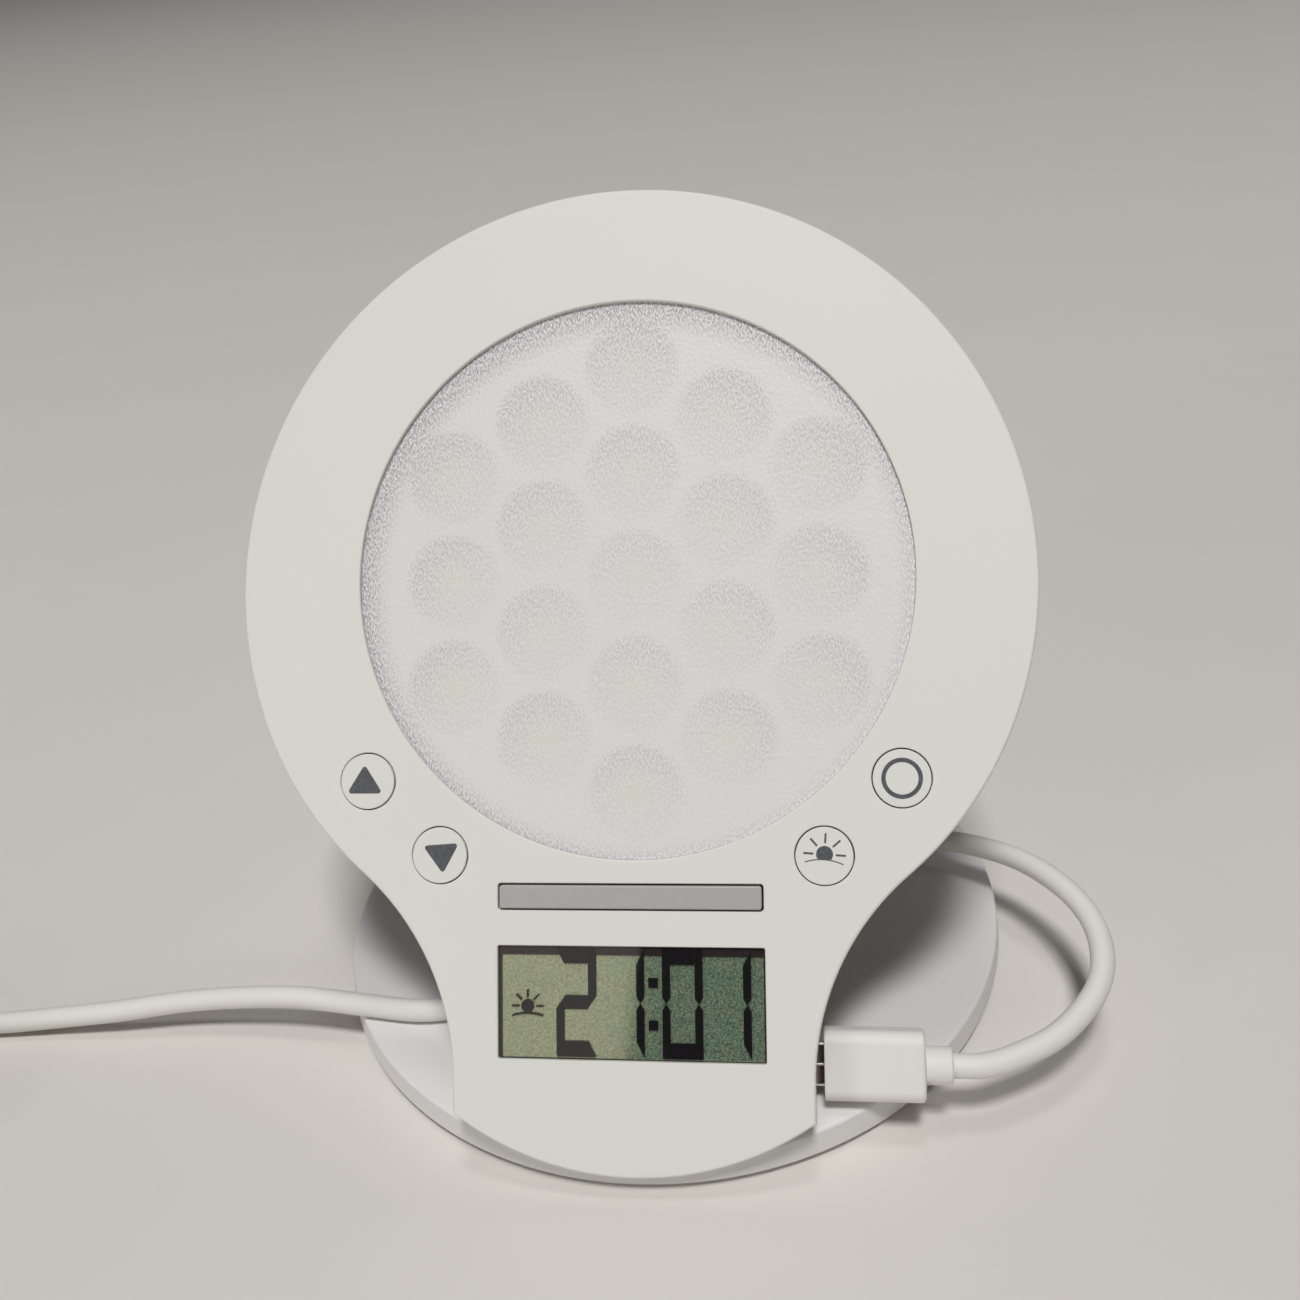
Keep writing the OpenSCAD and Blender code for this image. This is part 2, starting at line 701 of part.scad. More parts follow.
module leds() {
    color("#efe3a0") on_head() slab(led_board_d - led_h, led_h)
        for (s = cup_spots) translate(s) square(led_side, center = true);
}

module led_ribbon() {
    led_edge = light_v - light_r - fit_gap;
    board_rim = light_v - light_r - board_clear - ribbon_lap;
    back = [ribbon_t, ribbon_t / 2];
    front_line = [[rib_d, led_edge], [board_back, board_rim]];
    back_line = [front_line[1] + back, front_line[0] + back];
    outline = concat(
        [[rib_d, led_edge + ribbon_lap]], front_line,
        [[board_back, board_rim - ribbon_lap], [board_back + ribbon_t, board_rim - ribbon_lap]], back_line,
        [[rib_d + ribbon_t, led_edge + ribbon_lap]]);
    color("#d8d4c8") on_head() translate([-ribbon_w / 2, 0, 0]) rotate([90, 0, 90])
        linear_extrude(ribbon_w) polygon(outline);
}

module control_board() {
    color(board_green) on_head() slab(board_d, board_t) difference() {
        intersection() {
            polygon(head_outline(shell_step + shell_wall + board_edge));
            translate([-head_r, board_low]) square([2 * head_r, board_high - board_low]);
        }
        translate([0, light_v]) circle(light_r + board_clear, $fn = 128);
        for (s = board_screw_spots) translate(s) circle(screw_hole_r);
        for (s = shell_screw_spots) translate(s) circle(pillar_r + free_gap);
    }
}

module board_screws() {
    color(steel) on_head() for (s = board_screw_spots)
        head_screw(s, board_back + screw_head_t, screw_head_t, board_screw_len);
}

module tact_switches() {
    color(dark) on_head() for (s = switch_spots) {
        slab(board_d - switch_t, switch_t) translate(s) square(switch_side, center = true);
        rod(s, switch_plunger_r, board_d - switch_t - switch_plunger_t, switch_plunger_t);
    }
}

module lcd_glass() {
    color("#93a27f") on_head() slab(panel_t, lcd_t) translate([0, lcd_rise])
        square([glass_w, glass_h], center = true);
}

module lcd_frame() {
    color(dark) on_head() slab(panel_t, lcd_t + strip_t) translate([0, lcd_rise]) difference() {
        square([frame_w, frame_h], center = true);
        square([glass_w + 2 * seat_gap, glass_h + 2 * seat_gap], center = true);
    }
}

module lcd_strips() {
    color("#d98c9b") on_head() slab(panel_t + lcd_t, strip_t) for (s = [-1, 1])
        translate([0, lcd_rise + s * (glass_h - strip_h) / 2]) square([lcd_w, strip_h], center = true);
}

module buzzer() {
    color(dark) on_head() rod(buzzer_spot, buzzer_r, board_back, buzzer_t);
}

module backup_cell() {
    color(steel) on_head() rod(cell_spot, cell_r, board_back, cell_t);
}

module usb_socket() {
    color(steel) on_head() difference() {
        translate([tab_hw - socket_mouth - socket_len, plug_d - socket_t / 2, plug_v - socket_w / 2])
            cube([socket_len, socket_t, socket_w]);
        translate([tab_hw - socket_mouth - socket_len + socket_wall, plug_d - shell_t / 2 - socket_gap,
            plug_v - shell_w / 2 - socket_gap])
            cube([socket_len, shell_t + 2 * socket_gap, shell_w + 2 * socket_gap]);
    }
}

// Keys

module round_key(spot) {
    color(white) on_head() {
        rod(spot, key_r, -key_proud, key_proud + key_flange_d);
        rod(spot, key_r + key_flange, key_flange_d, key_flange_t);
        rod(spot, stem_r, key_flange_d + key_flange_t, stem_d - key_flange_d - key_flange_t);
    }
}

module key_up() {
    round_key(key_spots[0]);
}

module key_down() {
    round_key(key_spots[1]);
}

module key_sunrise() {
    round_key(key_spots[2]);
}

module key_ring() {
    round_key(key_spots[3]);
}

module snooze_bar() {
    color(grey) on_head() {
        slab(-key_proud, key_proud + key_flange_d) translate(bar_spot) square([bar_w, bar_h], center = true);
        slab(key_flange_d, key_flange_t) translate(bar_spot)
            square([bar_w + 2 * bar_flange, bar_h + 2 * bar_flange], center = true);
        rod(bar_spot, stem_r, key_flange_d + key_flange_t, stem_d - key_flange_d - key_flange_t);
    }
}

// Cord

module plug_shell() {
    color(steel) on_head() translate([tab_hw - shell_in, plug_d - shell_t / 2, plug_v - shell_w / 2])
        cube([shell_in + plug_stand, shell_t, shell_w]);
}

// A bar along u with round corners, centred on the small plug's axis
module plug_bar(u, w, t, r, length) {
    translate([u, plug_d, plug_v]) rotate([90, 0, 90]) linear_extrude(length) polygon(round_rect(t, w, r));
}

module plug_grip() {
    color(soft_white) on_head() plug_bar(grip_u, plug_w, plug_t, plug_round, plug_len);
}

module plug_collar() {
    color(soft_white) on_head() translate([0, plug_d, plug_v]) cross_rod(collar_u, collar_r, collar_len);
}

module cord_lead() {
    color(soft_white) tube(lead_path, cord_r, cord_sides);
}

module cord_coil() {
    color(soft_white) tube(coil_path, cord_r, coil_sides);
}

module cord_tie() {
    tie_in = coil_r - coil_step * coil_turns / 2 - cord_r - free_gap;
    tie_out = coil_r + cord_r + free_gap;
    tie_top = tail_top + cord_r + free_gap;
    mid = [(tie_in + tie_out) / 2, (tie_t + tie_top) / 2];
    size = [tie_out - tie_in, tie_top - tie_t];
    color(dark) translate([coil_centre[0], coil_centre[1], 0]) rotate([0, 0, tie_a])
        translate([0, tie_w / 2, 0]) rotate([90, 0, 0]) linear_extrude(tie_w) translate(mid) difference() {
            polygon(round_rect(size[0] + 2 * tie_t, size[1] + 2 * tie_t, tie_round));
            polygon(round_rect(size[0], size[1], tie_round - tie_t));
        }
}

// Places its children at the coil's end, with X along the lead
module at_tail(s) {
    p = tail_point(tail_len);
    translate(p) rotate([0, 0, atan2(tail_dir[1], tail_dir[0])]) translate([s, 0, 0]) children();
}

module usb_a_relief() {
    color(soft_white) at_tail(0) rotate([0, 90, 0]) cylinder(r1 = relief_r0, r2 = relief_r1, h = relief_len);
}

module usb_a_grip() {
    color(soft_white) at_tail(relief_len) rotate([90, 0, 90]) linear_extrude(usb_a_len)
        polygon(round_rect(usb_a_w, usb_a_t, usb_a_round));
}

module usb_a_shell() {
    inner_w = usb_a_shell_w - 2 * usb_a_shell_wall;
    inner_t = usb_a_shell_t - 2 * usb_a_shell_wall;
    color(steel) at_tail(relief_len + usb_a_len) difference() {
        translate([0, -usb_a_shell_w / 2, -usb_a_shell_t / 2])
            cube([usb_a_shell_len, usb_a_shell_w, usb_a_shell_t]);
        translate([-cut, -inner_w / 2, -inner_t / 2]) cube([usb_a_shell_len + 2 * cut, inner_w, inner_t]);
    }
}

module usb_a_tongue() {
    inner_w = usb_a_shell_w - 2 * usb_a_shell_wall;
    inner_t = usb_a_shell_t - 2 * usb_a_shell_wall;
    color(dark) at_tail(relief_len + usb_a_len) translate([0, -inner_w / 2, -inner_t / 2])
        cube([usb_a_shell_len - usb_a_tongue_back, inner_w, usb_a_tongue_t]);
}

base_cover();
base_floor();
weight_plate();
foot_pad();
base_screws();
hinge_block();
block_screws();
hinge_pin();
pin_clip();
friction_washers();
hinge_leaf();
leaf_screws();
front_panel();
rear_shell();
shell_screws();
diffuser();
reflector();
led_board();
leds();
led_ribbon();
control_board();
board_screws();
tact_switches();
lcd_glass();
lcd_frame();
lcd_strips();
buzzer();
backup_cell();
usb_socket();
key_up();
key_down();
key_sunrise();
key_ring();
snooze_bar();
plug_shell();
plug_grip();
plug_collar();
cord_lead();
cord_coil();
cord_tie();
usb_a_relief();
usb_a_grip();
usb_a_shell();
usb_a_tongue();
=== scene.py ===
import json
import math
from functools import partial

import bpy
from bpy.props import FloatProperty, FloatVectorProperty, PointerProperty
from bpy.types import Operator, Panel, PropertyGroup
from mathutils import Matrix, Vector


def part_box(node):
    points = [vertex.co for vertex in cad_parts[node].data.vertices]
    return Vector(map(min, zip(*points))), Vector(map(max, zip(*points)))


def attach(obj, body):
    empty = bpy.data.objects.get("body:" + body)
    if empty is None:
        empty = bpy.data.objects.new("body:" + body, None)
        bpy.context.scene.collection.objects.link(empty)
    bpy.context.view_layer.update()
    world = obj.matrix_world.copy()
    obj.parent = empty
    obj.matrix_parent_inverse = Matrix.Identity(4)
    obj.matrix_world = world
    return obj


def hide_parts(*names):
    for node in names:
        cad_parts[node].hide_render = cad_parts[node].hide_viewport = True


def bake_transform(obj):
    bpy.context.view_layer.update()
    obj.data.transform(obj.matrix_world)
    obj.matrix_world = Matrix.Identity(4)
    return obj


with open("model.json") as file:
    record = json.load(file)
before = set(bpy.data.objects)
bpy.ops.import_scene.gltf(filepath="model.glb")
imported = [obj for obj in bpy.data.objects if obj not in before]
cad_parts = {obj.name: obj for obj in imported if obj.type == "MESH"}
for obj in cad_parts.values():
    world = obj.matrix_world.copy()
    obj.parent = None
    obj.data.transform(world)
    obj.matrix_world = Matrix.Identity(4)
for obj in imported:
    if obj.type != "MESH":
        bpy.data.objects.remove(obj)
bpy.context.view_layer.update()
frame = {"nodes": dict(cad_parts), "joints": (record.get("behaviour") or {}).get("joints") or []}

bl_info = {
    "name": "Wake-up Light",
    "version": (1, 0, 0),
    "blender": (4, 5, 0),
    "location": "View3D > Sidebar > Wake-up Light",
    "description": "Models and finishes a wake-up light around its packed frame",
    "category": "Object",
}

MM = 0.001
JOINTS = {joint["name"]: joint for joint in frame["joints"]}
PRESS = Vector(JOINTS["key_up_press"]["axis"])
LEAN = math.atan2(-PRESS.z, PRESS.y)
PANEL_LOW, PANEL_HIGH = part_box("front_panel")
PANEL_TILT = (math.pi / 2 - LEAN, 0, 0)
# How far a cutter reaches past what it cuts
CLEAR = 1 * MM
# Scale of a wave texture with one band to the unit
WAVE = math.pi / 10


def linear(hex_colour):
    """An sRGB hex colour as linear red, green, blue and alpha."""
    parts = [int(hex_colour[i:i + 2], 16) / 255 for i in (1, 3, 5)]
    return (*(c / 12.92 if c <= 0.04045 else ((c + 0.055) / 1.055) ** 2.4 for c in parts), 1.0)


def size(label, millimetres, about):
    """A length that a user can change, with its default in millimetres."""
    return FloatProperty(name=label, description=about, default=millimetres * MM, min=0.0, precision=5,
                         subtype="DISTANCE", unit="LENGTH")


def turn(label, degrees, about):
    """An angle that a user can change, with its default in degrees."""
    return FloatProperty(name=label, description=about, default=math.radians(degrees), subtype="ANGLE",
                         unit="ROTATION")


def tint(label, hex_colour, about):
    """A colour that a user can change."""
    return FloatVectorProperty(name=label, description=about, default=linear(hex_colour), size=4, min=0.0,
                               max=1.0, subtype="COLOR")


class HeadSizes(PropertyGroup):
    """Sizes of the lamp's head."""
    disc_r: size("Disc radius", 63, "Radius of the round part of the head")
    disc_rise: size("Disc rise", 91.5, "Height of the round part's centre above the lowest edge")
    tab_w: size("Tab width", 56.4, "Width of the display tab below the round part")
    tab_arc_r: size("Tab arc radius", 48.7, "Radius of the tab's curved lower edge")
    flank_r: size("Flank radius", 57, "Radius of the round part's lower flanks")
    flank_a: turn("Flank angle", 20, "Angle below the centre line at which the flanks begin")
    neck_r: size("Neck radius", 42, "Radius of the hollow between the round part and the tab")
    depth: size("Depth", 15.5, "Overall thickness of the head")
    panel_t: size("Panel thickness", 2.5, "Thickness of the front panel")
    edge_round: size("Panel edge", 0.5, "Rounding of the panel's outer edge")
    lip_round: size("Window lip", 0.25, "Rounding of the light opening's edge")
    hole_ease: size("Hole edge", 0.12, "Easing of the edges of the key holes and the display opening")
    shell_step: size("Shell step", 0.6, "Step from the panel's edge in to the rear shell")
    shell_wall: size("Shell wall", 1.8, "Wall of the rear shell")
    back_round: size("Back edge", 2.2, "Rounding of the rear shell's back edge")
    window_r: size("Window radius", 44.05, "Radius of the light opening")
    window_rise: size("Window rise", 0.9, "Height of the light opening above the round part's centre")
    window_shift: size("Window shift", 0.7, "Shift of the light opening right of the round part's centre")
    flange_w: size("Flange width", 1.35, "Width of the diffuser's flange behind the panel")
    flange_t: size("Flange thickness", 1.3, "Thickness of the diffuser's flange")
    recess: size("Diffuser recess", 0.8, "Depth of the diffuser's face behind the panel's face")
    cup_pitch: size("Cup pitch", 16.8, "Distance between the reflector cups seen through the diffuser")
    cup_r: size("Cup radius", 7.55, "Radius of a reflector cup seen through the diffuser")
    cup_shift: size("Cup shift", 0.5, "Distance of the cups right of the light opening's centre")
    sounder_r: size("Sounder circle", 52.6, "Distance of the sounder holes from the round part's centre")
    sounder_a: turn("Sounder angle", 231.66, "Angle of the sounder holes about the round part's centre")


class KeySizes(PropertyGroup):
    """Sizes of the keys and of the symbols printed on them."""
    key_r: size("Key radius", 4.38, "Radius of a round key")
    gap: size("Key gap", 0.2, "Gap between a round key and the panel")
    bar_gap: size("Bar gap", 0.3, "Gap between the bar key and the panel")
    circle_r: size("Key circle", 52, "Radius of the circle that the keys sit on")
    upper_a: turn("Upper key angle", 36.2, "Angle of the upper keys below the round part's centre line")
    lower_a: turn("Lower key angle", 54.6, "Angle of the lower keys below the round part's centre line")
    proud: size("Key height", 0.25, "Distance that the keys stand proud of the panel")
    edge: size("Key edge", 0.15, "Rounding of a key's top edge")
    triangle_w: size("Triangle width", 5.9, "Base of the arrow printed on a key")
    triangle_h: size("Triangle height", 4.6, "Height of the arrow printed on a key")
    triangle_round: size("Triangle corners", 0.4, "Rounding of the corners of the arrow printed on a key")
    ring_r: size("Ring radius", 3.1, "Outer radius of the ring printed on a key")
    ring_w: size("Ring width", 0.65, "Line width of the ring printed on a key")
    ink_t: size("Ink thickness", 0.03, "Thickness of a printed symbol")
    bar_w: size("Bar width", 41, "Width of the long bar key")
    bar_h: size("Bar height", 3.6, "Height of the long bar key")
    bar_rise: size("Bar rise", 42.7, "Height of the bar key's centre above the lowest edge")


class DisplaySizes(PropertyGroup):
    """Sizes of the clock display."""
    opening_w: size("Opening width", 41.8, "Width of the display opening")
    opening_h: size("Opening height", 17.5, "Height of the display opening")
    rise: size("Display rise", 26.4, "Height of the display's centre above the lowest edge")
    margin: size("Glass margin", 1.6, "Margin of the display glass behind the opening's edge")
    glass_t: size("Glass thickness", 2.5, "Thickness of the display glass")
    digit_w: size("Digit width", 6.3, "Width of a digit")
    digit_h: size("Digit height", 16.7, "Height of a digit")
    upright: size("Upright segment", 1.25, "Width of a digit's upright segments")
    level: size("Level segment", 2.4, "Width of a digit's top and bottom segments")
    middle: size("Middle segment", 2.1, "Width of a digit's middle segment")
    point: size("Segment point", 1.0, "Length of the points where upright segments meet")
    split: size("Segment gap", 0.045, "Gap between two segments")
    sink: size("Display depth", 1.1, "Depth of the reflecting film behind the panel's face")
    float_h: size("Segment height", 0.35, "Height of the segments above the reflecting film")
    # The dark mask's wide strips along the top and at the left stand both for the display's printed border
    # and for painted shadow of the opening's top and left walls
    mask_and_shadow_top: size("Mask at the top", 1.5, "Width of the dark mask that shows along the top")
    mask_and_shadow_left: size("Mask at the left", 0.5, "Width of the dark mask that shows at the left")
    mask_right: size("Mask at the right", 0.3, "Width of the dark mask that shows at the right")


class BaseSizes(PropertyGroup):
    """Sizes of the base and the hinge."""
    radius: size("Base radius", 61, "Radius of the base")
    height: size("Base height", 5.8, "Height of the base above the table")
    ease: size("Base edge", 0.6, "Rounding of the base's top edge")
    draft: size("Base draft", 0.4, "Distance that the base's rim leans in from its foot to its top edge")
    foot_rise: size("Foot rise", 0.9, "Height of the rim's undercut foot")
    foot_in: size("Foot inset", 2.2, "Distance that the rim's undercut foot stands back")
    rim_wall: size("Rim wall", 3, "Wall of the base cover's rim")
    top_wall: size("Top wall", 1.8, "Wall of the base cover's top")
    pad_t: size("Pad thickness", 0.6, "Thickness of the foot pad")
    heel_gap: size("Heel gap", 0.5, "Gap between the head's heel and the base")
    free_gap: size("Free gap", 0.3, "Gap between the panel's rebate and the base")
    hinge_ease: size("Hinge edge", 0.35, "Rounding of the hinge parts' edges")


class CordSizes(PropertyGroup):
    """Sizes of the power lead and its two plugs."""
    lead_d: size("Lead diameter", 4, "Diameter of the power lead")
    plug_len: size("Plug length", 15.6, "Length of the small plug's grip")
    plug_w: size("Plug width", 11, "Width of the small plug's grip")
    plug_t: size("Plug thickness", 6.2, "Thickness of the small plug's grip")
    plug_round: size("Plug rounding", 2.0, "Rounding of the small plug's long edges")
    plug_near: size("Plug mouth rounding", 0.2, "Rounding of the small plug's end at the head")
    plug_end: size("Plug end rounding", 0.7, "Rounding of the small plug's end at the lead")
    tip_w: size("Tip width", 6.85, "Width of the small plug's metal tip")
    tip_t: size("Tip thickness", 1.8, "Thickness of the small plug's metal tip")
    tip_in: size("Tip depth", 5, "Length of the metal tip inside the head")
    plug_rise: size("Plug rise", 15.8, "Height of the small plug's axis above the lowest edge")
    plug_depth: size("Plug depth", 9.96, "Depth of the small plug's axis behind the panel's face")
    plug_stand: size("Plug stand", 1.2, "Length of the metal tip that shows beside the head")
    collar_r: size("Collar radius", 2.95, "Radius of the small plug's collar")
    collar_len: size("Collar length", 4.2, "Length of the small plug's collar")
    coil_r: size("Coil radius", 26.5, "Outer radius of the coil of spare lead")
    coil_gap: size("Coil gap", 0.5, "Gap between neighbouring turns of the coil")
    tie_t: size("Tie thickness", 0.7, "Thickness of the tie round the coil")
    wall_w: size("Wall plug width", 15.6, "Width of the wall plug's grip")
    wall_t: size("Wall plug thickness", 8, "Thickness of the wall plug's grip")
    wall_len: size("Wall plug length", 21, "Length of the wall plug's grip")
    relief_len: size("Relief length", 8, "Length of the wall plug's strain relief")
    wall_tip_w: size("Wall tip width", 12, "Width of the wall plug's metal shell")
    wall_tip_t: size("Wall tip thickness", 4.5, "Thickness of the wall plug's metal shell")
    wall_tip_len: size("Wall tip length", 18.7, "Length of the wall plug's metal shell")
    wall_tip_wall: size("Wall tip sheet", 0.35, "Sheet thickness of the wall plug's metal shell")


class ScrewSizes(PropertyGroup):
    """Sizes of the screws on the back."""
    head_r: size("Screw head radius", 2.2, "Radius of a screw's head")
    head_t: size("Screw head height", 1.4, "Height of a screw's head")
    shank_r: size("Shank radius", 1.15, "Radius of a screw's shank")
    arm: size("Cross arm", 1.3, "Reach of the cross recess from the screw's centre")
    arm_w: size("Cross width", 0.55, "Width of the cross recess's arms")
    cross_t: size("Cross depth", 0.8, "Depth of the cross recess")
    bore_r: size("Recess radius", 2.4, "Radius of the recess that a screw's head sinks into")
    sunk: size("Screw sink", 0.3, "Depth of the rear shell's screw heads below its back")
    circle_r: size("Screw circle", 56, "Radius of the circle of the rear shell's upper screws")
    low_u: size("Lower screw offset", 28.6, "Distance of the rear shell's lower screws from the middle")
    low_v: size("Lower screw rise", 38.6, "Height of the rear shell's lower screws above the lowest edge")
    leaf_u: size("Leaf screw offset", 21.5, "Distance of the hinge leaf's screws from the middle")
    leaf_low: size("Leaf screw rise", 22, "Height of the hinge leaf's lower screws above the lowest edge")
    leaf_high: size("Leaf screw top", 34, "Height of the hinge leaf's upper screws above the lowest edge")
    leaf_t: size("Leaf thickness", 2, "Thickness of the hinge leaf")


class Finishes(PropertyGroup):
    """Colours of the finishes."""
    panel: tint("Panel", "#E9E8E1", "Warm white of the front panel")
    shell: tint("Shell", "#E6E5E0", "White of the rear shell")
    base: tint("Base", "#E9E7E6", "White of the base")
    key: tint("Keys", "#E9E8E1", "White of the round keys")
    ink: tint("Ink", "#56575D", "Slate of the printed symbols")
    bar: tint("Bar", "#B4B3AF", "Grey of the long bar key")
    frost: tint("Diffuser", "#E7E6E4", "White of the frosted diffuser")
    cup: tint("Cups", "#A9A29C", "Shade of the reflector cups behind the diffuser")
    rim: tint("Diffuser rim", "#ADA9B0", "Shade along the rim of the diffuser")
    glow: tint("Diodes", "#E8E4D2", "Warm tone of the diodes behind the diffuser")
    film: tint("Film", "#707D68", "Grey-green of the display's reflecting film")
    segment: tint("Segments", "#181618", "Near black of the display's segments")
    # The mask's brown black also serves as painted shadow inside the display opening
    mask: tint("Mask", "#2F2928", "Brown black of the display's mask")
    lead: tint("Lead", "#EAE8E2", "White of the power lead and its plugs")
    grey: tint("Grey parts", "#B9B8B4", "Grey of the hinge parts and the base floor")
    dark: tint("Dark parts", "#2C2D31", "Dark grey of the small inner parts, the foot pad and the tie")
    steel: tint("Steel", "#C4C6C9", "Plated steel of the screws, pin and plugs")
    tip: tint("Plug tip", "#B9A69A", "Warm nickel of the small plug's tip")
    plate: tint("Weight plate", "#77787B", "Dark grey of the steel weight plate")
    gold: tint("Contacts", "#D9B25A", "Gold of the wall plug's contacts")
    mask_green: tint("Circuit board", "#2F6B46", "Green of the control board")
    strip: tint("Contact strips", "#D98C9B", "Pink rubber of the display's contact strips")
    floor: tint("Table", "#E3DFD8", "Pale table that the lamp stands on")


# Outlines, in metres in the plane of the panel


def arc(centre, radius, start, end, steps):
    """Points on an arc, with angles in degrees."""
    turns = [math.radians(start + (end - start) * i / steps) for i in range(steps + 1)]
    return [Vector((centre[0] + radius * math.cos(a), centre[1] + radius * math.sin(a))) for a in turns]


def disc(radius, steps, centre=(0, 0)):
    """Points on a circle."""
    return arc(centre, radius, 0, 360 * (steps - 1) / steps, steps - 1)


def rounded(width, height, radius, centre=(0, 0), steps=5):
    """Points on a rectangle with round corners."""
    corners = ((1, 1, 0), (-1, 1, 90), (-1, -1, 180), (1, -1, 270))
    return [point for x, y, a in corners
            for point in arc((centre[0] + x * (width / 2 - radius), centre[1] + y * (height / 2 - radius)),
                             radius, a, a + 90, steps)]


def head_outline(head, inset):
    """The keyhole outline of the head, drawn in by inset all round."""
    half = head.tab_w / 2
    shift = head.disc_r - head.flank_r
    flank_u, flank_v = shift * math.cos(head.flank_a), head.disc_rise - shift * math.sin(head.flank_a)
    neck_u = half + head.neck_r
    neck_v = flank_v - math.sqrt((head.flank_r + head.neck_r) ** 2 - (neck_u - flank_u) ** 2)
    begin_a = math.degrees(head.flank_a)
    neck_a = math.degrees(math.atan2(flank_v - neck_v, neck_u - flank_u))
    bottom_a = math.degrees(math.asin((half - inset) / (head.tab_arc_r - inset)))
    right = (arc((neck_u, neck_v), head.neck_r + inset, 180, 180 - neck_a, 24)
             + arc((flank_u, flank_v), head.flank_r - inset, 1 - neck_a, -begin_a, 20))
    left = [Vector((-p.x, p.y)) for p in reversed(right)]
    return (arc((0, head.tab_arc_r), head.tab_arc_r - inset, 270 - bottom_a, 270 + bottom_a, 24) + right
            + arc((0, head.disc_rise), head.disc_r - inset, 1 - begin_a, 179 + begin_a, 150) + left)


def spun(points, degrees):
    """Points turned about the origin."""
    return [Matrix.Rotation(math.radians(degrees), 2) @ p for p in points]


def rising_sun(centre, sun_r, cut, ray, ray_w, ground):
    """A sun with five rays on an arched horizon, in millimetres: the sun's radius and where the horizon cuts
    it, the rays' reach and width, and the horizon's half width, height and thickness."""
    centre = Vector(centre)
    low = math.degrees(math.asin(cut / sun_r))
    marks = [arc(centre, sun_r, -low, 180 + low, 24)]
    for a in (0, 45, 90, 135, 180):
        along = Vector((math.cos(math.radians(a)), math.sin(math.radians(a))))
        side = Vector((-along.y, along.x)) * ray_w / 2
        marks.append([centre + along * r + side * s
                      for r, s in ((ray[0], -1), (ray[1], -1), (ray[1], 1), (ray[0], 1))])
    half, rise, thick = ground
    bend = (half ** 2 + rise ** 2) / (2 * rise)
    spread = math.degrees(math.asin(half / bend))
    middle = centre - Vector((0, cut + bend))
    marks.append(arc(middle, bend - thick, 90 + spread, 90 - spread, 12)
                 + arc(middle, bend, 90 - spread, 90 + spread, 12))
    return [[p * MM for p in mark] for mark in marks]


def window_spot(head):
    """Centre of the light opening on the panel."""
    return Vector((head.window_shift, head.disc_rise + head.window_rise, 0))


def key_spots(head, keys):
    """Centres of the round keys on the panel, by the name of their bodies."""
    places = {"key_up": (-1, keys.upper_a), "key_down": (-1, keys.lower_a),
              "key_sunrise": (1, keys.lower_a), "key_ring": (1, keys.upper_a)}
    return {name: Vector((side * keys.circle_r * math.cos(a), head.disc_rise - keys.circle_r * math.sin(a)))
            for name, (side, a) in places.items()}


def shell_screw_spots(head, screws):
    """Centres of the rear shell's screws on the panel."""
    reach = [Vector((screws.circle_r, 0))]
    upper = [Vector((0, head.disc_rise)) + spun(reach, a)[0] for a in (25, 90, 155)]
    return upper + [Vector((side * screws.low_u, screws.low_v)) for side in (-1, 1)]


def panel_frame(head):
    """Turns panel coordinates (right, up the panel, out of it) into the part's frame."""
    toe_z = PANEL_HIGH.z - (head.disc_rise + head.disc_r) * math.cos(LEAN)
    return move(0, PANEL_LOW.y, toe_z) @ Matrix.Rotation(PANEL_TILT[0], 4, "X")


# Modelling steps

# Vertices this close are one, and normals this near are the same
MERGE, SAME_WAY = 0.001 * MM, 0.99
# Angles between faces: flat enough to be one, sharp enough to be rounded, and smooth in the shading
FLAT, SHARP, SMOOTH = math.radians(0.5), math.radians(40), math.radians(35)


def move(x=0, y=0, z=0):
    """A move by a distance along each axis."""
    return Matrix.Translation((x, y, z))


def quarter_turn(axis, count=1):
    """A turn by quarters of a circle about an axis through the origin."""
    return Matrix.Rotation(count * math.pi / 2, 4, axis)


def moved(obj, place):
    """Moves an object's mesh."""
    obj.data.transform(place)
    return obj


def alone(obj):
    """Selects one object and makes it active."""
    bpy.ops.object.select_all(action="DESELECT")
    obj.select_set(True)
    bpy.context.view_layer.objects.active = obj


def opened(obj):
    """Opens an object for editing with all of it selected."""
    alone(obj)
    bpy.ops.object.mode_set(mode="EDIT")
    bpy.ops.mesh.select_all(action="SELECT")


def closed():
    """Ends the editing of an object."""
    bpy.ops.object.mode_set(mode="OBJECT")


def wire(points):
    """A closed line: a circle whose vertices are moved onto the points."""
    bpy.ops.object.select_all(action="DESELECT")
    bpy.ops.mesh.primitive_circle_add(vertices=len(points), radius=MM)
    line = bpy.context.object
    for vertex, point in zip(line.data.vertices, points):
        vertex.co = point.to_3d()
    return line


def joined(objects):
    """Joins objects into the first one."""
    alone(objects[0])
    for obj in objects[1:]:
        obj.select_set(True)
    if len(objects) > 1:
        bpy.ops.object.join()
    return bpy.context.object


def tidied(obj):
    """Merges doubled vertices and turns the faces outwards."""
    opened(obj)
    bpy.ops.mesh.remove_doubles(threshold=MERGE)
    bpy.ops.mesh.delete_loose(use_verts=True, use_edges=True, use_faces=False)
    bpy.ops.mesh.select_all(action="SELECT")
    bpy.ops.mesh.normals_make_consistent(inside=False)
    closed()
    return obj


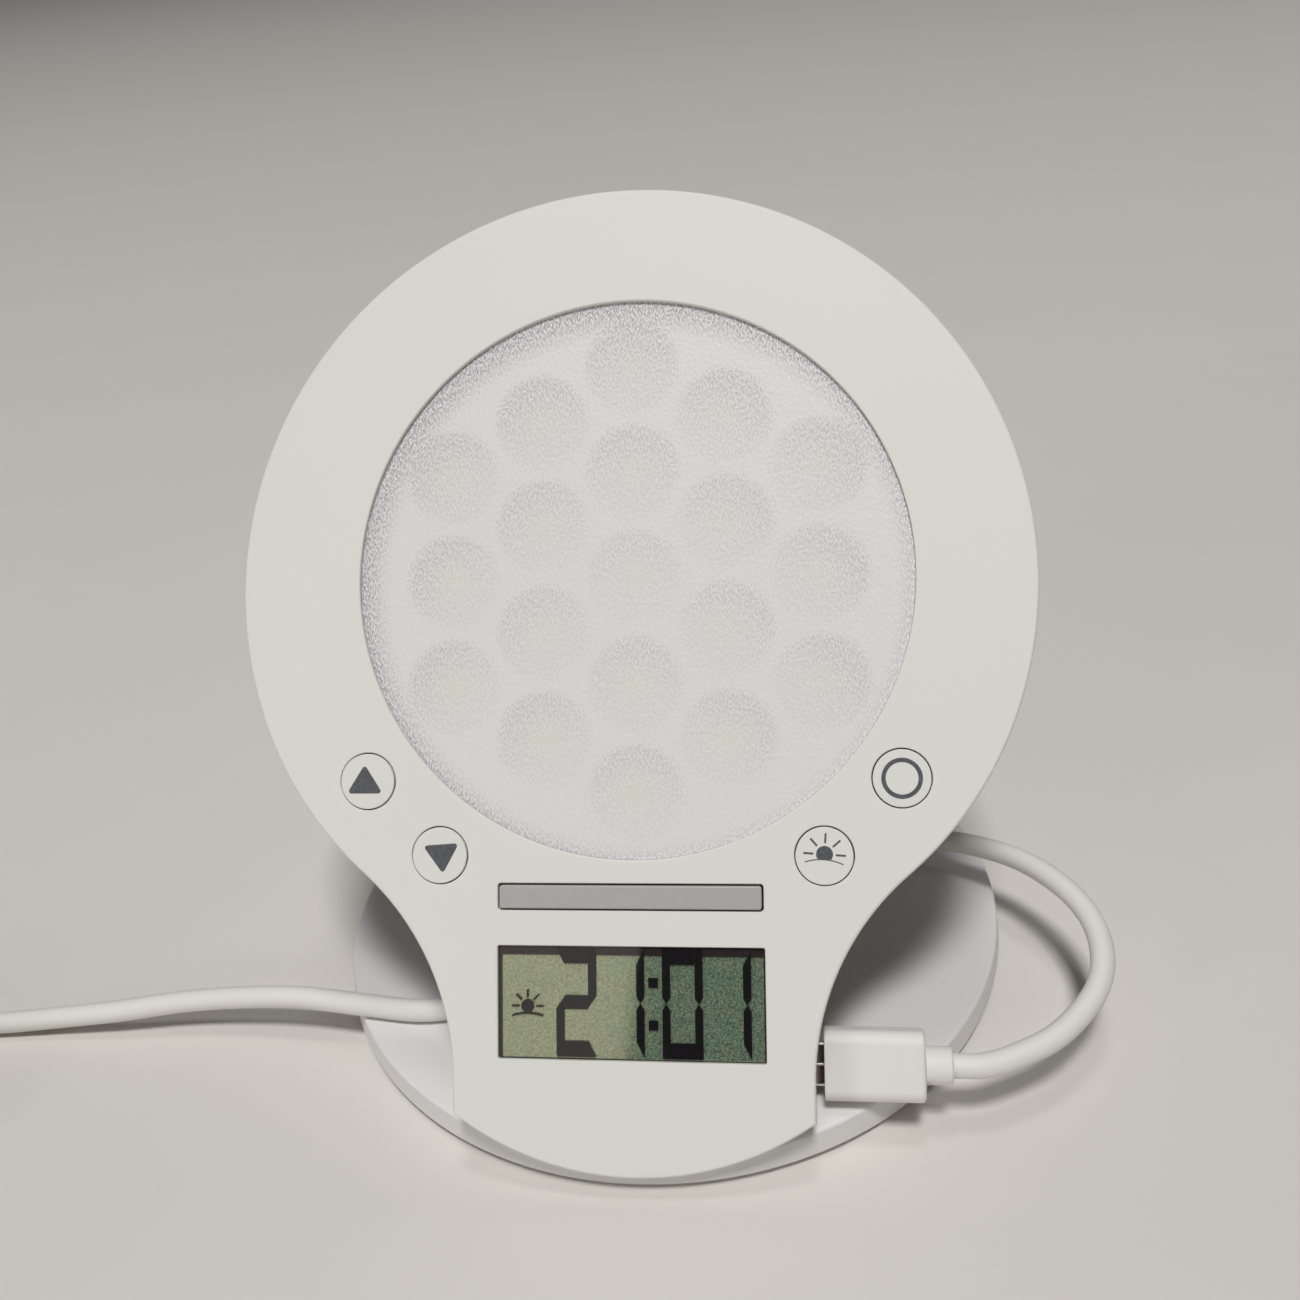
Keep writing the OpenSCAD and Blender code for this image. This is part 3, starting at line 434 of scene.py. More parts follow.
def plate(outlines, low, high, edge=0.0):
    """A flat plate between two heights, with the later outlines as holes or islands and rounded edges."""
    sheet = joined([wire(points) for points in outlines])
    bpy.ops.object.convert(target="CURVE")
    curve = sheet.data
    curve.dimensions = "2D"
    curve.fill_mode = "BOTH"
    curve.extrude = (high - low) / 2 - edge
    curve.bevel_depth = edge
    curve.bevel_resolution = 3
    curve.offset = -edge
    bpy.ops.object.convert(target="MESH")
    return tidied(moved(bpy.context.object, move(z=(low + high) / 2)))


def turned(profile, steps):
    """A solid of revolution about Z, from a closed profile of (radius, height) points."""
    shape = wire([Vector((r, 0, z)) for r, z in profile])
    opened(shape)
    bpy.ops.mesh.spin(steps=steps, angle=2 * math.pi, center=(0, 0, 0), axis=(0, 0, 1))
    closed()
    return tidied(shape)


def pick(obj, kind, test):
    """Opens an object for editing with those of its edges or faces selected that pass a test."""
    alone(obj)
    bpy.ops.object.mode_set(mode="EDIT")
    bpy.ops.mesh.select_mode(type=kind)
    bpy.ops.mesh.select_all(action="DESELECT")
    closed()
    for item in obj.data.edges if kind == "EDGE" else obj.data.polygons:
        item.select = test(item)
    bpy.ops.object.mode_set(mode="EDIT")


def block(length, width, thick, long_round, near_round, far_round):
    """A moulded block along X with rounded long edges and a rounding of its own at each end."""
    bpy.ops.object.select_all(action="DESELECT")
    bpy.ops.mesh.primitive_cube_add(size=1)
    bar = moved(bpy.context.object, Matrix.Diagonal((length, width, thick, 1)))
    ends = [v.co.x for v in bar.data.vertices]
    pick(bar, "EDGE", lambda edge: ends[edge.vertices[0]] * ends[edge.vertices[1]] < 0)
    bpy.ops.mesh.bevel(offset=long_round, segments=6, affect="EDGES")
    closed()
    for side, end_round in ((-1, near_round), (1, far_round)):
        pick(bar, "FACE", lambda face: face.normal.x * side > SAME_WAY)
        bpy.ops.mesh.region_to_loop()
        bpy.ops.mesh.bevel(offset=end_round, segments=4, affect="EDGES")
        closed()
    return bar


def copies(model, places):
    """Copies of one model at several places, joined, in place of the model."""
    made = []
    for place in places:
        alone(model)
        bpy.ops.object.duplicate(linked=False)
        made.append(moved(bpy.context.object, place))
    bpy.data.objects.remove(model)
    return joined(made)


def applied(obj, kind, **settings):
    """Adds a modifier with its settings and applies it."""
    alone(obj)
    modifier = obj.modifiers.new(kind.lower(), kind)
    for key, value in settings.items():
        setattr(modifier, key, value)
    bpy.ops.object.modifier_apply(modifier=modifier.name)
    return obj


def combined(obj, other, operation="UNION"):
    """Joins another solid to one or cuts it out of it, and deletes the other."""
    applied(obj, "BOOLEAN", object=other, operation=operation, solver="MANIFOLD")
    bpy.data.objects.remove(other)
    return obj


def cut_away(obj, cutter):
    """Cuts one solid out of another."""
    return combined(obj, cutter, "DIFFERENCE")


def hole(points, depth, ease):
    """A cutter for a hole in the panel, a little wider at its mouth."""
    centre = sum(points, Vector((0, 0))) / len(points)
    reach = Vector((max(abs(p.x - centre.x) for p in points), max(abs(p.y - centre.y) for p in points)))
    wider = Vector((1 + 2 * ease / reach.x, 1 + 2 * ease / reach.y))
    flared = [centre + Vector(((p.x - centre.x) * wider.x, (p.y - centre.y) * wider.y)) for p in points]
    count = len(points)
    cutter = joined([wire([p.to_3d() + Vector((0, 0, z)) for p in ring])
                     for ring, z in ((points, -depth), (points, -ease), (flared, ease))])
    opened(cutter)
    bpy.ops.mesh.bridge_edge_loops()
    closed()
    pick(cutter, "EDGE", lambda edge: all(v < count or v >= 2 * count for v in edge.vertices))
    bpy.ops.mesh.edge_face_add()
    closed()
    return tidied(cutter)


def eased_copy(name, ease):
    """A copy of a node of the frame with its sharp edges rounded."""
    copy = bpy.data.objects.new(name + "_eased", frame["nodes"][name].data.copy())
    bpy.context.scene.collection.objects.link(copy)
    opened(tidied(copy))
    bpy.ops.mesh.dissolve_limited(angle_limit=FLAT)
    closed()
    return applied(copy, "BEVEL", width=ease, segments=3, limit_method="ANGLE", angle_limit=SHARP)


def dressed(obj, name, body, finish, slot, *nodes):
    """Names a piece, gives it its finish and lets it ride on its body in place of its nodes."""
    obj.name = name
    obj.data.name = name
    obj.data.materials.clear()
    obj.data.materials.append(finish)
    alone(obj)
    bpy.ops.object.shade_smooth_by_angle(angle=SMOOTH)
    if body:
        applied(obj, "WEIGHTED_NORMAL", keep_sharp=True)
        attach(obj, body)
    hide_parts(*nodes)
    return obj


def painted(finish, *nodes):
    """Gives nodes of the frame that keep their shape a finish."""
    for name in nodes:
        mesh = frame["nodes"][name].data
        mesh.materials.clear()
        mesh.materials.append(finish)


def groups(context, *names):
    """The groups of sizes and finishes with these names."""
    return [getattr(context.scene, "wakelight_" + name) for name in names]


# Materials


def live(source):
    """A socket, or the first live output of a node."""
    if isinstance(source, bpy.types.Node):
        return next(socket for socket in source.outputs if socket.enabled)
    return source


def node(tree, kind, inputs, **settings):
    """Adds a node, sets it, and fills its inputs or links them to other nodes."""
    made = tree.nodes.new("ShaderNode" + kind)
    for key, value in settings.items():
        setattr(made, key, value)
    for key, value in inputs.items():
        if isinstance(live(value), bpy.types.NodeSocket):
            tree.links.new(live(value), made.inputs[key])
        else:
            made.inputs[key].default_value = value
    return made


def shader_socket(made, key):
    """A socket of a material's shader, by its name in lower case."""
    name = key.replace("_", " ").title().replace("Ior", "IOR")
    return made.node_tree.nodes["Principled BSDF"].inputs[name]


def surface(name, **sockets):
    """A new material with its shader's own sockets set, what adds its nodes, and its Object coordinates."""
    made = bpy.data.materials.new(name)
    made.use_nodes = True
    for key, value in sockets.items():
        shader_socket(made, key).default_value = value
    add = partial(node, made.node_tree)
    return made, add, add("TexCoord", {}).outputs["Object"]


def finished(made, **links):
    """A material with its last nodes linked to its shader."""
    for key, source in links.items():
        made.node_tree.links.new(live(source), shader_socket(made, key))
    return made


def per(millimetres):
    """Scale of a texture in metres whose features are this many millimetres across."""
    return 1 / (millimetres * MM)


def shade(colour, factor):
    """A colour made lighter or darker."""
    return (*(min(1.0, c * factor) for c in colour[:3]), 1.0)


def moulded(name, colour, roughness, grit, relief, spread=0.03, drift_size=26):
    """Injection-moulded plastic: a fine even grit from the mould that breaks up the gloss, and a tone
    that drifts slightly over the surface. The grit is drawn coarser than it is, so that it shows."""
    made, add, place = surface(name, roughness=roughness, ior=1.5)
    drift = add("TexNoise", {"Vector": place, "Scale": per(drift_size), "Detail": 2.0})
    grain = add("TexNoise", {"Vector": place, "Scale": per(grit), "Detail": 3.0})
    tone = add("Mix", {0: drift, 6: shade(colour, 1 - spread), 7: shade(colour, 1 + spread)},
               data_type="RGBA")
    gloss = add("MapRange", {"Value": grain, "From Min": 0.3, "From Max": 0.7, "To Min": roughness - 0.06,
                             "To Max": roughness + 0.06})
    bump = add("Bump", {"Height": grain, "Strength": 0.5, "Distance": relief * MM})
    return finished(made, base_color=tone, roughness=gloss, normal=bump)


def frosted_diffuser(head, finishes):
    """Frosted polycarbonate: a pebbled face with painted glints, through which the white reflector cups show
    as soft grey discs of painted shade, darker under their outer rims, towards the top and towards the outer
    ring, with a warm diode in the middle of each. Painted shade along the rim of the opening falls from the
    upper left.
    The pebbles are drawn coarser than they are, so that they show."""
    made, add, place = surface("frosted_polycarbonate", roughness=0.5, ior=1.58)
    light = panel_frame(head) @ (window_spot(head) + Vector((0, 0, -head.recess)))
    local = add("Mapping", {"Vector": place, "Location": light, "Rotation": PANEL_TILT},
                vector_type="TEXTURE")
    flat = add("VectorMath", {0: local, 1: (1, 1, 0)}, operation="MULTIPLY")
    seen = add("VectorMath", {0: flat, 1: (head.cup_shift, 0, 0)}, operation="SUBTRACT")
    strokes = add("Mapping", {"Vector": flat, "Rotation": (0, 0, math.radians(40)),
                              "Scale": (per(0.26), per(0.52), 1)})
    grain = add("TexNoise", {"Vector": strokes, "Scale": 1.0, "Detail": 2.0})
    wobble = add("MapRange", {"Value": grain, "From Min": 0.3, "From Max": 0.7, "To Min": -0.5 * MM,
                              "To Max": 0.5 * MM})
    # The cups stand in two grids of rows and columns, the second in the gaps of the first
    step = Vector((head.cup_pitch * math.sqrt(3), head.cup_pitch, 1))
    reach = 2.1 * head.cup_pitch
    outwards = (1.2 / head.window_r, 0.3 / head.window_r, 0)
    cup_shades, glows = [], []
    for offset in (Vector((0, 0, 0)), step / 2):
        shifted = add("VectorMath", {0: seen, 1: (offset.x, offset.y, 0)}, operation="ADD")
        cell = add("VectorMath", {0: shifted, 1: step / 2, 2: -step / 2}, operation="WRAP")
        centre = add("VectorMath", {0: seen, 1: cell}, operation="SUBTRACT")
        away = add("VectorMath", {0: centre}, operation="LENGTH")
        inside = add("Math", {0: away, 1: reach}, operation="LESS_THAN")
        near = add("VectorMath", {0: cell}, operation="LENGTH")
        rough_edge = add("Math", {0: near, 1: wobble}, operation="ADD")
        mouth = add("MapRange", {"Value": rough_edge, "From Min": head.cup_r + 0.7 * MM,
                                 "From Max": head.cup_r - 1.3 * MM}, interpolation_type="SMOOTHSTEP")
        lit = add("MapRange", {"Value": near, "From Min": 0.7 * head.cup_r, "From Max": 0.0, "To Max": 0.45},
                  interpolation_type="SMOOTHSTEP")
        # Painted shade of each cup's wall, strongest on its upper and outer side
        aim = add("VectorMath", {0: centre, 1: outwards, 2: (0, 0.85, 0)}, operation="MULTIPLY_ADD")
        aim = add("VectorMath", {0: aim}, operation="NORMALIZE")
        lean = add("VectorMath", {0: cell, 1: aim}, operation="DOT_PRODUCT")
        slope = add("MapRange", {"Value": lean, "From Min": -head.cup_r, "From Max": head.cup_r,
                                 "To Min": 0.5}, interpolation_type="SMOOTHSTEP")
        wall_shade = add("Math", {0: slope, 1: 2.0}, operation="POWER")
        # The painted shade of the cups grows towards the outer ring and towards the top of the opening
        outer_ring_shade = add("MapRange", {"Value": away, "From Max": reach, "To Min": 0.7, "To Max": 1.3})
        shares = []
        for way, least, most in (((-0.2, 1, 0), 0.7, 1.4), ((-0.6, -0.8, 0), 0.35, 1.25)):
            side = add("VectorMath", {0: centre, 1: way}, operation="DOT_PRODUCT")
            shares.append(add("MapRange", {"Value": side, "From Min": -head.window_r,
                                           "From Max": head.window_r, "To Min": least, "To Max": most}))
        upper, warmth = shares
        for marks, factors in ((cup_shades, (mouth, wall_shade, outer_ring_shade, upper, inside)), (glows, (lit, warmth, inside))):
            mark = factors[0]
            for factor in factors[1:]:
                mark = add("Math", {0: mark, 1: factor}, operation="MULTIPLY")
            marks.append(mark)
    # Sums over both grids: the cups' painted shade and the diodes' warm tint
    depth, glow = (add("Math", {0: first, 1: second}, operation="ADD") for first, second in (cup_shades, glows))
    # Painted shade of the cups, laid over the frost
    cup_shade = add("Math", {0: depth, 1: 0.16}, operation="MULTIPLY")
    # Painted shade along the rim of the opening, widest at the upper left
    lower_right = Vector((1.0, -1.6, 0)) * MM
    from_lit = add("VectorMath", {0: flat, 1: lower_right}, operation="SUBTRACT")
    outward = add("VectorMath", {0: from_lit}, operation="LENGTH")
    rim_shade = add("MapRange", {"Value": outward, "From Min": head.window_r - 4.5 * MM,
                            "From Max": head.window_r + 1.9 * MM, "To Max": 0.6},
               interpolation_type="SMOOTHSTEP")
    speck = add("MapRange", {"Value": grain, "From Min": 0.38, "From Max": 0.62, "To Min": 2.4,
                             "To Max": -0.4})
    # Painted glints over the grain: the frost a little lighter and darker along its strokes
    glint = add("MapRange", {"Value": grain, "From Min": 0.35, "From Max": 0.65})
    tone = add("Mix", {0: glint, 6: shade(finishes.frost, 0.965), 7: shade(finishes.frost, 1.035)},
               data_type="RGBA")
    for mark, dark in ((cup_shade, finishes.cup), (rim_shade, finishes.rim)):
        speckled = add("Math", {0: mark, 1: speck}, operation="MULTIPLY")
        tone = add("Mix", {0: speckled, 6: tone, 7: dark}, data_type="RGBA")
    colour = add("Mix", {0: glow, 6: tone, 7: finishes.glow}, data_type="RGBA")
    pebble = add("TexVoronoi", {"Vector": place, "Scale": per(0.55)}, feature="SMOOTH_F1")
    bump = add("Bump", {"Height": pebble, "Strength": 0.4, "Distance": 0.12 * MM})
    return finished(made, base_color=colour, normal=bump)


def reflecting_film(finishes):
    """The display's grey-green reflector behind glass: a metallic speckle that mirrors a little of the room,
    greener in some patches than in others, under a clear, glossy pane."""
    made, add, place = surface("display_film", roughness=0.08, ior=2.45, specular_tint=linear("#FFFFCE"),
                               coat_weight=1.0, coat_roughness=0.03, coat_ior=1.5)
    patch = add("TexNoise", {"Vector": place, "Scale": per(3), "Detail": 2.0})
    sparkle = add("TexNoise", {"Vector": place, "Scale": per(0.3), "Detail": 2.0})
    hue = add("MapRange", {"Value": patch, "From Min": 0.35, "From Max": 0.65})
    green = add("Mix", {0: hue, 6: finishes.film, 7: linear("#667D68")}, data_type="RGBA")
    tone = add("MapRange", {"Value": sparkle, "From Min": 0.34, "From Max": 0.66, "To Min": 0.5,
                            "To Max": 1.5})
    return finished(made, base_color=add("VectorMath", {0: green, "Scale": tone}, operation="SCALE"))


def plated_steel(name, colour, roughness):
    """Bright plated steel: a clean metal gloss, slightly uneven in its polish."""
    made, add, place = surface(name, base_color=colour, metallic=1.0, roughness=roughness)
    smear = add("TexNoise", {"Vector": place, "Scale": per(1.2), "Detail": 4.0})
    gloss = add("MapRange", {"Value": smear, "To Min": roughness - 0.08, "To Max": roughness + 0.1})
    return finished(made, roughness=gloss)


def nickel_with_painted_glints(head, cord, finishes):
    """Nickel-plated sheet of the small plug's tip: a dark mirror on the flat, with painted glints, near white
    and rougher, along its long edges and on its seam."""
    made, add, place = surface("nickel_with_painted_glints", metallic=1.0)
    centre = panel_frame(head) @ Vector((head.tab_w / 2, cord.plug_rise, -cord.plug_depth))
    local = add("Mapping", {"Vector": place, "Location": centre, "Rotation": PANEL_TILT},
                vector_type="TEXTURE")
    parts = add("SeparateXYZ", {"Vector": local})
    glint_wobble = add("TexNoise", {"Vector": place, "Scale": per(0.25), "Detail": 2.0})
    rough_line = add("MapRange", {"Value": glint_wobble, "To Min": -0.12 * MM, "To Max": 0.12 * MM})
    height = add("Math", {0: parts.outputs["Y"]}, operation="ABSOLUTE")
    height = add("Math", {0: height, 1: rough_line}, operation="ADD")
    # Painted glints: bands along the tip's long edges and on its seam, with ragged borders
    edge = add("MapRange", {"Value": height, "From Min": cord.tip_w / 2 - 0.5 * MM,
                            "From Max": cord.tip_w / 2 - 0.35 * MM})
    seam = add("MapRange", {"Value": height, "From Min": 0.22 * MM, "From Max": 0.1 * MM})
    painted_glint = add("Math", {0: edge, 1: seam}, operation="MAXIMUM")
    tone = add("Mix", {0: painted_glint, 6: finishes.tip, 7: linear("#F4F2EF")}, data_type="RGBA")
    gloss = add("MapRange", {"Value": painted_glint, "To Min": 0.14, "To Max": 0.55})
    return finished(made, base_color=tone, roughness=gloss)


def printed_ink(name, colour, pane=0.0):
    """Pad-printed ink: a thin matt film, a little paler where it lies thin, or under a glossy pane."""
    made, add, place = surface(name, roughness=0.5, specular_ior_level=0.5 - 0.45 * pane, coat_weight=pane,
                               coat_roughness=0.03, coat_ior=1.5)
    thin = add("TexNoise", {"Vector": place, "Scale": per(0.5), "Detail": 3.0})
    cover = add("MapRange", {"Value": thin, "From Min": 0.3, "From Max": 0.7})
    tone = add("Mix", {0: cover, 6: shade(colour, 0.75), 7: shade(colour, 1.3)}, data_type="RGBA")
    return finished(made, base_color=tone)


def hook_and_loop(colour):
    """Woven hook-and-loop tape: ribs across the tape with a fuzzy, matt face."""
    made, add, place = surface("hook_and_loop_tape", roughness=0.9, sheen_weight=0.4)
    ribs = add("TexWave", {"Vector": place, "Scale": per(0.8) * WAVE}, bands_direction="X")
    fuzz = add("TexNoise", {"Vector": place, "Scale": per(0.5), "Detail": 4.0})
    height = add("Math", {0: ribs.outputs["Fac"], 1: fuzz}, operation="ADD")
    tone = add("Mix", {0: fuzz, 6: shade(colour, 0.7), 7: shade(colour, 1.5)}, data_type="RGBA")
    bump = add("Bump", {"Height": height, "Strength": 0.7, "Distance": 0.15 * MM})
    return finished(made, base_color=tone, normal=bump)


def striped(name, ground, stripe, pitch, roughness):
    """Stripes side by side along X, such as a ribbon's wires or the layers of contact rubber. The layers of
    the rubber are drawn coarser than they are, so that they show."""
    made, add, place = surface(name, roughness=roughness)
    bands = add("TexWave", {"Vector": place, "Scale": per(pitch) * WAVE}, bands_direction="X").outputs["Fac"]
    edge = add("MapRange", {"Value": bands, "From Min": 0.4, "From Max": 0.6})
    tone = add("Mix", {0: edge, 6: ground, 7: stripe}, data_type="RGBA")
    bump = add("Bump", {"Height": bands, "Strength": 0.5, "Distance": 0.1 * MM})
    return finished(made, base_color=tone, normal=bump)


def glass_cloth_board(name, colour):
    """Solder mask over glass cloth: a satin lacquer through which the threads of the weave show faintly. The
    threads are drawn coarser than they are, so that they show."""
    made, add, place = surface(name, roughness=0.32, ior=1.55)
    local = add("Mapping", {"Vector": place, "Rotation": PANEL_TILT}, vector_type="TEXTURE")
    warp, weft = (add("TexWave", {"Vector": local, "Scale": per(0.8) * WAVE}, bands_direction=way)
                  for way in "XY")
    weave = add("Math", {0: warp.outputs["Fac"], 1: weft.outputs["Fac"]}, operation="MULTIPLY")
    tone = add("Mix", {0: weave, 6: shade(colour, 0.88), 7: shade(colour, 1.06)}, data_type="RGBA")
    bump = add("Bump", {"Height": weave, "Strength": 0.3, "Distance": 0.05 * MM})
    return finished(made, base_color=tone, normal=bump)


def table_top(colour):
    """A matt laminated table top: almost even, with a faint grain."""
    return moulded("laminate", colour, 0.55, 0.8, 0.01, 0.012)


# Pieces


class WAKELIGHT_OT_stage(Operator):
    """Camera, table and soft studio light"""
    bl_idname = "wakelight.stage"
    bl_label = "Stage"

    camera_place = Vector((33.371, -198.238, 178.689)) * MM
    camera_yaw = math.radians(9.297)
    camera_pitch = math.radians(30.283)
    camera_roll = math.radians(-5.838)
    focal_px = 1363
    image_px = 1300
    table_side = 14.0
    aim = Vector((0, 0, 0.05))
    sky_colour = "#EEF0F4"
    sky_strength = 0.035
    # Name, place, width and height in metres, watts and colour: two ceiling lights, a fill at the front left,
    # and a small card at the front left whose right edge is mirrored in the middle of the display
    softboxes = (("ceiling_front", (0.4, -1.95, 5.05), (0.9, 0.9), 170.0, "#FFFFFF"),
                 ("ceiling_rear", (0.1, 0.3, 5.2), (0.9, 0.9), 30.0, "#FFFFFF"),
                 ("front_fill", (-1.9, -2.2, 0.8), (0.8, 0.9), 12.0, "#FFFFFF"),
                 ("front_card", (-0.31, -1.0, 0.43), (0.3, 0.3), 0.24, "#FFF2EA"))

    def execute(self, context):
        self.place_camera(context.scene)
        self.place_table(context.scene.wakelight_finishes)
        self.place_lights(context.scene)
        return {"FINISHED"}

    def place_camera(self, scene):
        """The camera, turned by yaw, pitch and roll in that order."""
        yaw, pitch = self.camera_yaw, self.camera_pitch
        ahead = Vector((-math.sin(yaw) * math.cos(pitch), math.cos(yaw) * math.cos(pitch), -math.sin(pitch)))
        level = Vector((math.cos(yaw), math.sin(yaw), 0))
        upright = level.cross(ahead)
        right = math.cos(self.camera_roll) * level + math.sin(self.camera_roll) * upright
        up = right.cross(ahead)
        data = bpy.data.cameras.new("camera")
        data.sensor_width = 36
        data.lens = data.sensor_width * self.focal_px / self.image_px
        data.clip_start = 0.01
        data.clip_end = 50
        camera = bpy.data.objects.new("camera", data)
        camera.matrix_world = (Matrix.Translation(self.camera_place)
                               @ Matrix((right, up, -ahead)).transposed().to_4x4())
        scene.collection.objects.link(camera)
        scene.camera = camera

    def place_table(self, finishes):
        """The table that the lamp stands on."""
        bpy.ops.object.select_all(action="DESELECT")
        bpy.ops.mesh.primitive_plane_add(size=self.table_side)
        table = bpy.context.object
        table.name = "table"
        table.data.materials.append(table_top(finishes.floor))

    def place_lights(self, scene):
        """The softboxes and the even light of the room."""
        for name, place, (width, height), watts, colour in self.softboxes:
            data = bpy.data.lights.new(name, "AREA")
            data.shape = "RECTANGLE"
            data.size = width
            data.size_y = height
            data.energy = watts
            data.color = linear(colour)[:3]
            lamp = bpy.data.objects.new(name, data)
            lamp.location = place
            lamp.rotation_euler = (self.aim - Vector(place)).to_track_quat("-Z", "Y").to_euler()
            scene.collection.objects.link(lamp)
        world = bpy.data.worlds.new("studio")
        world.use_nodes = True
        sky = world.node_tree.nodes["Background"]
        sky.inputs["Color"].default_value = linear(self.sky_colour)
        sky.inputs["Strength"].default_value = self.sky_strength
        scene.world = world
        scene.view_settings.view_transform = "Standard"


class WAKELIGHT_OT_lead(Operator):
    """Power lead, the coil of spare lead and its tie"""
    bl_idname = "wakelight.lead"
    bl_label = "Power lead"

    # Points that the lead lies on, in millimetres, from the small plug to the coil
    route = [(58, -43.7, 12), (66.3, -38.7, 12.5), (73.3, -30.1, 14), (75.1, -20.8, 15.6),
             (72.4, -10.9, 16.4), (64.7, -0.5, 16), (53.3, 7.1, 14.2), (39.9, 10.9, 11.8), (24.1, 9.2, 9.5),
             (8, 2.6, 8.3),
             (-8, -7, 8), (-20, -18.5, 8), (-29, -28.3, 8), (-39, -31.8, 8), (-51, -30.8, 8),
             (-63.6, -29.3, 8.1), (-75.2, -28.8, 7.3), (-86.8, -29.1, 6.2), (-98.6, -30.2, 4.8),
             (-110.9, -30.9, 3.5), (-123.5, -31.8, 2.6), (-136, -32.5, 2.7)]
    coil_centre = Vector((-150, -60)) * MM
    coil_turns = 5.25
    coil_start = 90
    coil_steps = 48
    coil_lift = 0.3 * MM
    tail_flat = 9 * MM
    tail_drop = 17 * MM
    tail_steps = 12
    tie_ease = 0.2 * MM
    blend_start = (0.012, -0.024, 0)
    blend_end = (0.0276, -0.0552, 0)

    def execute(self, context):
        head, cord, finishes = groups(context, "head", "cord", "finishes")
        white = moulded("thermoplastic_jacket", finishes.lead, 0.56, 0.7, 0.02)
        path = self.path(head, cord)
        lead = self.tube(path, cord.lead_d / 2)
        dressed(lead, "power_lead", None, white, "cord_white", "cord_lead", "cord_coil")
        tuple(self.blend_start)
        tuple(self.blend_end)
        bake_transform(lead)
        tie = eased_copy("cord_tie", self.tie_ease)
        dressed(tie, "lead_tie", "base", hook_and_loop(finishes.dark), "tie_dark", "cord_tie")
        length = sum((b - a).length for a, b in zip(path, path[1:]))
        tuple(path[0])
        return {"FINISHED"}

    def coil_point(self, cord, turns):
        """A point of the coil: it winds in on the table and out again on top."""
        step = cord.lead_d + cord.coil_gap
        radius = cord.coil_r - step * min(turns, self.coil_turns - turns)
        climb = min(1, max(0, (turns - self.coil_turns / 2 + 0.25) / 0.5))
        angle = math.radians(self.coil_start + 360 * turns)
        height = cord.lead_d / 2 + cord.tie_t + self.coil_lift + step * (1 - math.cos(math.pi * climb)) / 2
        return Vector((self.coil_centre.x + radius * math.cos(angle),
                       self.coil_centre.y + radius * math.sin(angle), height))

    def path(self, head, cord):
        """The lead's centre line from the small plug's collar to the wall plug's relief."""
        exit_u = head.tab_w / 2 + cord.plug_stand + cord.plug_len + cord.collar_len
        leave = panel_frame(head) @ Vector((exit_u, cord.plug_rise, -cord.plug_depth))
        along = Vector((cord.lead_d, 0, 0))
        begin = self.coil_point(cord, 0) + along
        knots = [leave + along] + [Vector(p) * MM for p in self.route] + [begin + along]
        smooth = []
        for i in range(len(knots) - 1):
            a, b, c, d = knots[max(i - 1, 0)], knots[i], knots[i + 1], knots[min(i + 2, len(knots) - 1)]
            for t in (0, 0.2, 0.4, 0.6, 0.8):
                smooth.append((2 * b + (c - a) * t + (2 * a - 5 * b + 4 * c - d) * t ** 2
                               + (3 * b - a - 3 * c + d) * t ** 3) / 2)
        coil = [self.coil_point(cord, i / self.coil_steps)
                for i in range(round(self.coil_steps * self.coil_turns) + 1)]
        heading = math.radians(self.coil_start + 360 * self.coil_turns)
        away = Vector((-math.sin(heading), math.cos(heading), 0))
        tail_len = self.tail_flat + self.tail_drop + cord.lead_d
        tail = []
        for i in range(1, self.tail_steps + 1):
            s = tail_len * i / self.tail_steps
            k = min(1, max(0, (s - self.tail_flat) / self.tail_drop))
            fall = (cord.wall_t / 2 - coil[-1].z) * (1 - math.cos(math.pi * k)) / 2
            tail.append(coil[-1] + away * s + Vector((0, 0, fall)))
        return [leave] + smooth + [begin + along, begin] + coil + tail

    def tube(self, path, radius):
        """A round tube along the path, closed at both ends."""
        curve = bpy.data.curves.new("power_lead", "CURVE")
        curve.dimensions = "3D"
        curve.bevel_depth = radius
        curve.bevel_resolution = 4
        curve.use_fill_caps = True
        spline = curve.splines.new("POLY")
        spline.points.add(len(path) - 1)
        for point, place in zip(spline.points, path):
            point.co = (*place, 1)
        lead = bpy.data.objects.new("power_lead", curve)
        bpy.context.scene.collection.objects.link(lead)
        alone(lead)
        bpy.ops.object.convert(target="MESH")
        return tidied(bpy.context.object)


